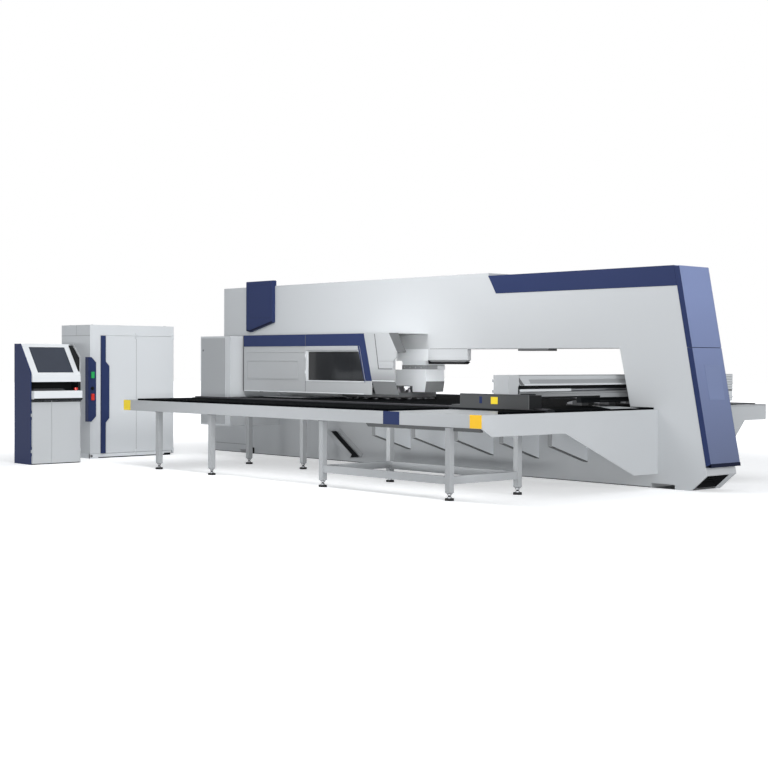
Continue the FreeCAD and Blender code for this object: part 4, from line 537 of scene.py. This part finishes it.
# cover end: hatch outline, fold lines, slanted plate over the lip, lower fold and screws
END_OUT = COVER_X + 0.0046
prisms("hatch_gap", [band([(0.182, 1.632), (0.256, 1.2165)], 0.012), rect(0.250, 1.209, 0.497, 1.2175)],
       "x", COVER_X - 0.001, END_OUT, SHADE, bevel=0)
prisms("hatch_folds", [rect(0.262, 1.3030, 0.494, 1.3075), rect(0.262, 1.2570, 0.494, 1.2595)],
       "x", COVER_X + 0.003, END_OUT, MIDGREY, bevel=0)
prisms("end_slant_plate", [[(0.428, 1.6405), (0.574, 1.4155), (0.5775, 1.4175), (0.4325, 1.6425)]],
       "x", COVER_X - 0.150, COVER_X - 0.001, SHADE, bevel=0.001)
blocks("end_fold", [(COVER_X - 0.001, 0.136, 1.0640, COVER_X + 0.0025, 0.541, 1.0735)], PALE,
       bevel=0.001)
discs("end_screws", [(COVER_X + 0.004, y, z)
                     for y, z in ((0.235, 1.60), (0.40, 1.60), (0.47, 1.245), (0.285, 1.245))],
      "x", 0.007, 0.002, COVER, sides=12)

# ---------------------------------------------------------------- punching head
GUARD_FRONT = -0.128    # front end of the guard's upper part
BAND_Z0, BAND_Z1 = 1.206, 1.250
SHADOW_Z0, SHADOW_Z1 = 1.2505, 1.256


def guard_wrap(name, side_x, z0, z1, out, mat, bevel):
    """A strip round the guard's near and rear face; side_x is where the rear part starts."""
    near = (HEAD_X - 0.002, GUARD_FRONT, z0, HEAD_X + out, HEAD_Y + out, z1)
    rear = (side_x, HEAD_Y - 0.002, z0, HEAD_X + out, HEAD_Y + out, z1)
    blocks(name, [near, rear], mat, bevel=bevel)


guard_wrap("head_band", -0.034, BAND_Z0, BAND_Z1, 0.003, MIDGREY, 0.002)
guard_wrap("head_shadow", -0.159, SHADOW_Z0, SHADOW_Z1, 0.0035, SHADE, 0)
blocks("head_key", [(-0.158, HEAD_Y - 0.002, 1.204, -0.037, HEAD_Y + 0.012, 1.2495)], PALE, bevel=0.004)
discs("head_screws", [(HEAD_X + 0.003, y, (BAND_Z0 + BAND_Z1) / 2) for y in (-0.08, 0.02, 0.12, 0.22)],
      "x", 0.010, 0.004, STEEL, socket=0.005)
blocks("guard_hem", [(HEAD_X - 0.004, -0.276, 0.991, HEAD_X + 0.002, 0.063, 0.999)], SHADE,
       bevel=0.001)
# dark plate on the guard's lower chamfer: painted shade of the downward-facing facet
prisms("guard_facet_shade", [[(HEAD_Y - 0.0247, 0.926), (HEAD_Y - 0.0003, 1.0575), (HEAD_Y + 0.0012, 1.0572),
                        (HEAD_Y - 0.0232, 0.9257)]],
       "x", 0.003 - HEAD_X, HEAD_X - 0.003, FACET_SHADE, bevel=0)

# ---------------------------------------------------------------- tables
APRON_PATCHES = (
    ("apron_navy", 2.533, 0.6895, 2.766, 0.8175, NAVY, "navy_paint"),
    ("apron_yellow_rear", 3.716, 0.6925, 3.868, 0.8165, AMBER, None),
    ("apron_yellow_front", -2.223, 0.6925, -2.071, 0.8165, YELLOW, None),
)
for name, y0, z0, y1, z1, mat, slot in APRON_PATCHES:
    blocks(name, [(APRON_X, y0, z0, APRON_X + PATCH, y1, z1)], mat, bevel=0)

# plain plates on the brush tops, and a dark rail below the apron
blocks("guide_mats", [(a, 3.245, 0.8155, b, 3.822, 0.8355) for a, b in ((1.769, 1.7985), (1.9615, 1.9915))],
       BRUSH, bevel=0)
prisms("rest_plate", [[(0.313, 3.038), (1.005, 3.850), (0.560, 3.850), (0.262, 3.300)]],
       "z", DECK_Z, DECK_Z + 0.0015, PLATE, bevel=0)
blocks("far_rest", [(-1.749, 3.500, DECK_Z + 0.0001, -1.400, 3.868, DECK_Z + 0.0020),
                    (-1.749, 3.862, 0.8172, -0.300, 3.868, DECK_Z + 0.0020)],
       PLATE, bevel=0)
blocks("cover_deck", [(0.262, -1.980, DECK_Z + 0.0001, 0.930, -1.170, DECK_Z + 0.0018)], HEADPAINT,
       bevel=0)
prisms("under_rail", [[(2.190, 0.6905), (2.230, 0.652), (3.780, 0.652), (3.780, 0.6905)]],
       "x", 2.780, 2.820, SHADE, bevel=0.001)

# levelling nuts and leg caps; leg places are (x of each leg in a row, y of each row)
FRONT_ROWS, REAR_ROWS = (-1.513, -0.430), (1.551, 3.405)
LEG_ROWS = (
    ((1.500, 2.839), FRONT_ROWS),
    ((1.895, 2.839), REAR_ROWS),
    ((-0.950, -1.698), FRONT_ROWS + REAR_ROWS),
)
LEGS = [(x, y) for xs, ys in LEG_ROWS for y in ys for x in xs]
NUT_R, CAP_HALF = 0.024, 0.036
bm = bmesh.new()
for x, y in LEGS:
    nut = [(x + NUT_R * math.cos(math.pi / 3 * k), y + NUT_R * math.sin(math.pi / 3 * k)) for k in range(6)]
    add_prism(bm, nut, "z", 0.022, 0.036)
    add_prism(bm, nut, "z", 0.050, 0.0618)
finish_piece("foot_nuts", bm, STEEL, "machine", 0.001)
blocks("leg_caps", [(x - CAP_HALF, y - CAP_HALF, 0.684, x + CAP_HALF, y + CAP_HALF, 0.691) for x, y in LEGS],
       SHADE, bevel=0.001)
blocks("table_rails", [(a, -2.20, 0.752, b, 3.85, 0.802)
                       for a, b in ((0.90, 0.94), (2.30, 2.34), (-0.94, -0.90), (-1.49, -1.45))],
       SHADE)

# painted shade along the slanted edges of the five brackets on each side of the frame, and their ends
BRACKET_YS = [0.138 + i * 0.700 for i in range(5)]
BRACKET_END = HALF + 0.590
TIP = 0.0015
bm = bmesh.new()
for y in BRACKET_YS:
    for s in (1, -1):
        edge_line = [(s * (HALF + 0.002), 0.222), (s * (BRACKET_END - 0.002), 0.410)]
        add_prism(bm, band(edge_line, 0.007), "y", y - 0.062, y + 0.0025)
finish_piece("bracket_edge_shade", bm, SHADE, "machine")
blocks("bracket_tips", [(x, y - 0.060, 0.412, x + TIP, y, 0.801)
                        for y in BRACKET_YS for x in (BRACKET_END, -BRACKET_END - TIP)],
       MIDGREY, bevel=0)

# dark sheet inside the chute's mouth, painted shade; and rubber stops at the ends of the guides
prisms("chute_mouth_shade", [[(-1.237, 0.3835), (-0.7865, 0.0759), (-0.782, 0.0825), (-1.2325, 0.3901)]],
       "x", 0.30, 0.43, DARK, bevel=0)
blocks("guide_stops", [(x - 0.03, y, 0.8375, x + 0.03, y + 0.02, 0.850)
                       for x in (1.880, -1.580) for y in (-2.122, 3.802)],
       BLACK, bevel=0.004)

# ---------------------------------------------------------------- feed axes
WEB_Y, BEAM_Y1 = 3.2745, hi("beam_tray")[1]     # beam's face below the hood, and its outer face
BEAM_CAP = 0.146                    # length of the caps on the beam's ends
HOOD_X0, HOOD_X1 = BEAM_X0 + BEAM_CAP, BEAM_X1 - BEAM_CAP
HOOD_TOP_Y, HOOD_TOP_Z, HOOD_TAN = 3.290, 1.173, 0.648
HOOD_NORMAL_Y, HOOD_NORMAL_Z = 0.839, 0.544
TRAY_Z0 = lo("beam_tray")[2]
blocks("saddle_navy", [(SADDLE_X, 2.953, 0.888, SADDLE_X + PATCH, 2.990, 0.956)], NAVY,
       "cross_beam", 0)
blocks("saddle_yellow", [(SADDLE_X, 3.111, 0.884, SADDLE_X + PATCH, 3.203, 0.955)], YELLOW,
       "cross_beam", 0)
blocks("saddle_cap", [(SADDLE_X - 0.006, 2.682, 0.9795, SADDLE_X + 0.003, 3.616, 0.984),
                      (SADDLE_X - 0.004, 3.610, 0.840, SADDLE_X + 0.003, 3.616, 0.980)],
       SHADE, "cross_beam", 0.001)
blocks("saddle_knob", [(1.873, 3.50, 0.980, 1.968, 3.619, 0.994)], DARK, "cross_beam", 0.004)


def hood_strip(name, outline, mat, rise=0.0015):
    """A thin plate on the sloping hood, given by its outline of (x, z)."""
    bm = bmesh.new()
    low = [bm.verts.new((x, HOOD_TOP_Y + (HOOD_TOP_Z - z) * HOOD_TAN, z)) for x, z in outline]
    high = [bm.verts.new((v.co.x, v.co.y + rise * HOOD_NORMAL_Y, v.co.z + rise * HOOD_NORMAL_Z)) for v in low]
    close_prism(bm, low, high)
    finish_piece(name, bm, mat, "cross_beam")


# dark triangle at the hood's end: painted shade
hood_strip("hood_end_shade", [(HOOD_X1, 1.150), (1.774, 1.148), (1.750, 1.070), (HOOD_X1, 1.070)], SHADE)
hood_strip("hood_band", rect(HOOD_X0, 1.089, 1.646, 1.127), MIDGREY)
hood_strip("hood_line", rect(HOOD_X0, 1.165, HOOD_X1, 1.1725), MIDGREY, rise=0.001)
# pale strip on the hood's lip: painted highlight
blocks("hood_lip_highlight", [(HOOD_X0, 3.3575, 1.068, 1.746, 3.3605, 1.081)], PALE, "cross_beam", 0.001)
blocks("hood_shadow", [(HOOD_X0, WEB_Y, 1.022, HOOD_X1, WEB_Y + 0.003, 1.140)], BLACK,
       "cross_beam", 0)
# grey plate on the beam's web below the hood, darker than the beam: painted shade
blocks("web_face_shade", [(HOOD_X0, WEB_Y, 0.981, HOOD_X1 - 0.03, WEB_Y + 0.0025, 1.021)], LEGPAINT,
       "cross_beam", 0)
blocks("screw_cover", [(0.997, 3.292, 1.006, 1.774, 3.326, 1.032)], PALE, "cross_beam", 0.004)
blocks("tray_dark", [(0.543, BEAM_Y1, TRAY_Z0, 1.655, BEAM_Y1 + 0.002, 0.955)], BLACK,
       "cross_beam", 0)
blocks("tray_line", [(-1.40, BEAM_Y1, 0.893, 0.543, BEAM_Y1 + 0.002, 0.906)], BLACK,
       "cross_beam", 0)
blocks("beam_end_slot", [(HOOD_X1, 3.3325, 0.983, HOOD_X1 + 0.012, 3.3345, 1.062)], BLACK,
       "cross_beam", 0)
blocks("saddle_end_plate", [(1.792, 3.619, 0.842, 1.968, 3.6215, 0.978)], BLACK,
       "cross_beam", 0.001)
blocks("motor_ribs", [(BEAM_X0 - 0.004, 3.121, z, BEAM_X0 + 0.150, 3.337, z + 0.012)
                      for z in (1.00, 1.03, 1.06, 1.09, 1.12, 1.15)],
       PALE, "cross_beam", 0.003)
blocks("motor_case", [(BEAM_X0 - 0.004, 3.125, 0.862, BEAM_X0 + 0.090, 3.333, 0.998),
                      (BEAM_X0 - 0.010, 3.119, 0.900, BEAM_X0 + 0.096, 3.339, 0.915)],
       PALE, "cross_beam", 0.006)
CARRIAGE_Y = lo("x_carriage")[1]
discs("carriage_screws", [(x, CARRIAGE_Y, z) for x in (-0.56, -0.30, 0.30, 0.56) for z in (0.92, 1.10)],
      "y", 0.012, 0.008, STEEL, "carriage", socket=0.006)
blocks("carriage_scale", [(-0.58, CARRIAGE_Y - 0.0015, 1.116, 0.58, CARRIAGE_Y, 1.132)], ALU,
       "carriage", 0)

# ---------------------------------------------------------------- console
CON_X0, CON_X1 = lo("console_body")[0], hi("console_body")[0]
CON_FACE, CON_BACK = -3.076, lo("console_body")[1]      # face behind the doors, and the back
RECESS_X, RECESS_Y = 3.0285, -3.264     # the recess's side and back wall
prisms("cheek_liner", [[(-3.079, 1.158), (-3.079, 1.325), (-3.255, 1.487), (-3.330, 1.487)]],
       "x", CON_X0, CON_X0 + 0.018, BLACK, bevel=0)
blocks("recess_liner", [(RECESS_X, RECESS_Y - 0.0015, 0.918, CON_X1, RECESS_Y + 0.002, 1.027),
                        (RECESS_X, RECESS_Y, 0.9175, CON_X1, -3.0880, 0.9195),
                        (RECESS_X, RECESS_Y, 1.0245, CON_X1, -3.0775, 1.0275),
                        (RECESS_X, RECESS_Y, 0.918, RECESS_X + 0.0025, -3.0775, 1.027)],
       BLACK, bevel=0)
blocks("recess_end", [(RECESS_X - 0.028, -3.0765, 0.919, RECESS_X, -3.0745, 1.026)], BLACK,
       bevel=0)
prisms("lip_shadow", [[(CON_FACE, 0.793), (CON_FACE + 0.045, 0.793), (CON_FACE + 0.0712, 0.812),
                       (CON_FACE + 0.0712, 0.824), (CON_FACE + 0.069, 0.824), (CON_FACE + 0.066, 0.8135),
                       (CON_FACE, 0.8135)]],
       "x", CON_X0 - 0.004, CON_X1, DARK, bevel=0)
# black strip along the console's foot: painted shadow
blocks("console_foot_shadow", [(CON_X0, CON_FACE, 0.0, CON_X1, CON_FACE + 0.004, 0.020)], BLACK,
       bevel=0)
blocks("recess_lip", [(CON_X0, CON_FACE + 0.024, 1.0285, CON_X1, CON_FACE + 0.027, 1.041)], HEADPAINT,
       bevel=0.001)
# dark bands on the doors' tops under the lip: painted shadow
for leaf in ("console_door_narrow", "console_door_wide"):
    x0, x1, y1 = lo(leaf)[0], hi(leaf)[0], hi(leaf)[1]
    blocks(leaf + "_line", [(x0 + 0.004, y1 - 0.001, 0.776, x1 - 0.004, y1 + 0.0008, 0.790)], DARK,
           leaf, 0)
louvres("console_louvres", 3.15, 3.55, 0.25, 0.55, CON_BACK, 8, NAVY)
discs("console_screws", [(x, CON_BACK, z) for x in (3.05, 3.65) for z in (0.08, 0.75, 1.42)],
      "y", 0.007, 0.003, STEEL, sides=12)

# ---------------------------------------------------------------- cabinet
CAB_X1, CAB_FACE = hi("cabinet_body")[0], lo("cabinet_handle")[1]
CAB_BACK = lo("cabinet_body")[1]
PLINTH_X0, PLINTH_X1, PLINTH_TOP = 1.300, 2.440, 0.058
prisms("cabinet_seams", [rect(CAB_BACK, 1.6265, CAB_FACE, 1.6315), rect(-3.955, 1.6315, -3.951, 1.769)],
       "x", CAB_X1 - 0.001, CAB_X1 + 0.0012, MIDGREY, bevel=0)
blocks("cabinet_split", [(1.8425, CAB_FACE - 0.004, 0.064, 1.8475, CAB_FACE + 0.0008, 1.628)], MIDGREY,
       bevel=0)
blocks("plinth_plate", [(CAB_X1 - 0.002, -4.320, 0.0, CAB_X1 + 0.006, -3.588, PLINTH_TOP),
                        (PLINTH_X1, -3.620, 0.0, CAB_X1 + 0.006, -3.585, PLINTH_TOP)], PALE)
discs("plinth_bolt", [(CAB_X1 - 0.012, -3.585, 0.034)], "y", 0.016, 0.010, SHADE, socket=0.008)
blocks("plinth_strip", [(PLINTH_X0, -3.622, 0.014, PLINTH_X1, -3.604, PLINTH_TOP)], PALE)
# dark strip at the plinth's foot: painted shadow
blocks("plinth_foot_shadow", [(PLINTH_X0, -3.6205, 0.0, PLINTH_X1, -3.614, 0.013)], DARK,
       bevel=0)
blocks("cabinet_foot", [(PLINTH_X0, -3.680, 0.0, PLINTH_X0 + 0.100, -3.590, 0.030)], BLACK,
       bevel=0.004)
louvres("cabinet_louvres", 1.40, 1.80, 0.30, 0.75, CAB_BACK, 10, COVER)
louvres("cabinet_louvres_high", 2.00, 2.40, 1.10, 1.50, CAB_BACK, 9, COVER)
discs("cabinet_screws", [(x, CAB_BACK, z) for x in (1.28, 1.90, 2.52) for z in (0.12, 0.90, 1.70)],
      "y", 0.007, 0.003, STEEL, sides=12)
discs("cabinet_eyes", [(x, y, 1.770) for x in (1.33, 2.47) for y in (-3.70, -4.25)], "z", 0.018, 0.006,
      STEEL, socket=0.008)

# ---------------------------------------------------------------- camera, fitted to the photograph
CAMERA_PLACE = (12.094, 12.679, 1.307)
LENS, SENSOR = 65.54, 36.0
yaw, pitch, roll = math.radians(47.76), math.radians(0.943), math.radians(0.242)
cam = add_object("camera", bpy.data.cameras.new("camera"))
bpy.context.scene.camera = cam
cam.data.lens = LENS
cam.data.sensor_width = SENSOR
cam.data.clip_end = 200.0
gaze = Vector((-math.cos(yaw) * math.cos(pitch), -math.sin(yaw) * math.cos(pitch), -math.sin(pitch)))
right = gaze.cross(Vector((0, 0, 1))).normalized()
up = right.cross(gaze)
side = right * math.cos(roll) + up * math.sin(roll)
top = -right * math.sin(roll) + up * math.cos(roll)
cam.matrix_world = Matrix.Translation(CAMERA_PLACE) @ Matrix((side, top, -gaze)).transposed().to_4x4()


# ---------------------------------------------------------------- lights and world
def add_lamp(name, light, place, target):
    """Puts a lamp at a place and aims it at another."""
    lamp = add_object(name, light)
    lamp.location = place
    lamp.rotation_euler = (Vector(target) - Vector(place)).to_track_quat("-Z", "Y").to_euler()
    return lamp


def area(name, place, target, size, watts):
    """A soft lamp."""
    light = bpy.data.lights.new(name, "AREA")
    light.shape = "RECTANGLE"
    light.size, light.size_y = size
    light.energy = watts
    return add_lamp(name, light, place, target)


def beam(name, place, target, cone, watts):
    """A soft-edged lamp that lifts one place."""
    light = bpy.data.lights.new(name, "SPOT")
    light.energy = watts
    light.spot_size = math.radians(cone)
    light.spot_blend = 1.0
    light.shadow_soft_size = 0.6
    add_lamp(name, light, place, target)


area("lamp_end", (6.0, 26.0, 8.0), (0.5, 0.0, 1.0), (14, 8), 2335)
area("lamp_hot", (3.6, 0.6, 4.0), (0.255, 0.4, 1.9), (3, 1), 131)
area("lamp_low", (20.0, 17.0, 0.75), (0.3, 1.0, 0.6), (10, 1.0), 2430)
area("lamp_top", (1.0, 0.5, 11.0), (0.5, 0.5, 0.0), (10, 12), 252)
under = area("lamp_under", (2.70, 1.20, 0.45), (0.25, 1.20, 0.35), (5.0, 0.3), 12)
under.visible_camera = False
under.visible_glossy = False

HEAD_LAMPS = (11.0, 12.2, 1.6)
beam("lamp_head", HEAD_LAMPS, (0.15, 0.12, 1.10), 4.0, 8500)
beam("lamp_roof", HEAD_LAMPS, (0.255, 0.22, 1.54), 1.9, 16000)
beam("lamp_foot", (14.0, 8.0, 0.45), (0.26, -1.0, 0.35), 16.0, 1500)


def clear_ray(nodes, links):
    """Socket that is one for rays from the camera, off a gloss and through glass."""
    path = add_node(nodes, "LightPath")
    flag = path.outputs["Is Camera Ray"]
    for kind in ("Is Glossy Ray", "Is Transmission Ray"):
        larger = add_node(nodes, "Math", operation="MAXIMUM")
        links.new(flag, larger.inputs[0])
        links.new(path.outputs[kind], larger.inputs[1])
        flag = larger.outputs[0]
    return flag


WHITE = (1, 1, 1, 1)
SKY, SKY_STRENGTH = (0.93, 0.96, 1.0, 1), 0.34
world = bpy.data.worlds.new("world")
bpy.context.scene.world = world
world.use_nodes = True
world_nodes, world_links = world.node_tree.nodes, world.node_tree.links
plain = world_nodes["Background"]
plain.inputs["Color"].default_value = SKY
plain.inputs["Strength"].default_value = SKY_STRENGTH
white = add_node(world_nodes, "Background", {"Color": WHITE, "Strength": 1.0})
pick = add_node(world_nodes, "MixShader")
world_links.new(clear_ray(world_nodes, world_links), pick.inputs[0])
world_links.new(plain.outputs[0], pick.inputs[1])
world_links.new(white.outputs[0], pick.inputs[2])
world_links.new(pick.outputs[0], world_nodes["World Output"].inputs[0])


# ---------------------------------------------------------------- floor
FLOOR_HALF = 60
GLOW_FROM, GLOW_TO = 4.5, 8.5       # distance from the punch over which the floor turns white
GLOW_NEAR, GLOW_FAR = 0.45, 1.0


def floor_finish():
    """White floor that keeps a soft shadow near the machine and meets the white backdrop farther out."""
    material, nodes, links = new_material("floor_white")
    nodes.remove(nodes["Principled BSDF"])
    matt = add_node(nodes, "BsdfDiffuse", {"Color": (0.86, 0.87, 0.88, 1)})
    glow = add_node(nodes, "Emission", {"Color": WHITE})
    at = add_node(nodes, "TexCoord")
    reach = add_node(nodes, "VectorMath", operation="LENGTH")
    links.new(at.outputs["Object"], reach.inputs[0])
    lift = add_node(nodes, "MapRange", {"From Min": GLOW_FROM, "From Max": GLOW_TO, "To Min": GLOW_NEAR,
                                        "To Max": GLOW_FAR}, interpolation_type="SMOOTHSTEP")
    links.new(reach.outputs["Value"], lift.inputs["Value"])
    links.new(lift.outputs[0], glow.inputs["Strength"])
    both = add_node(nodes, "AddShader")
    links.new(matt.outputs[0], both.inputs[0])
    links.new(glow.outputs[0], both.inputs[1])
    mix = add_node(nodes, "MixShader")
    links.new(clear_ray(nodes, links), mix.inputs[0])
    links.new(matt.outputs[0], mix.inputs[1])
    links.new(both.outputs[0], mix.inputs[2])
    links.new(mix.outputs[0], nodes["Material Output"].inputs[0])
    return material


floor_mesh = bpy.data.meshes.new("floor")
floor_mesh.from_pydata([(x, y, 0) for x, y in rect(-FLOOR_HALF, -FLOOR_HALF, FLOOR_HALF, FLOOR_HALF)],
                       [], [(0, 1, 2, 3)])
floor = add_object("floor", floor_mesh)
floor_mesh.materials.append(floor_finish())

scene = bpy.context.scene
scene.view_settings.view_transform = "Standard"
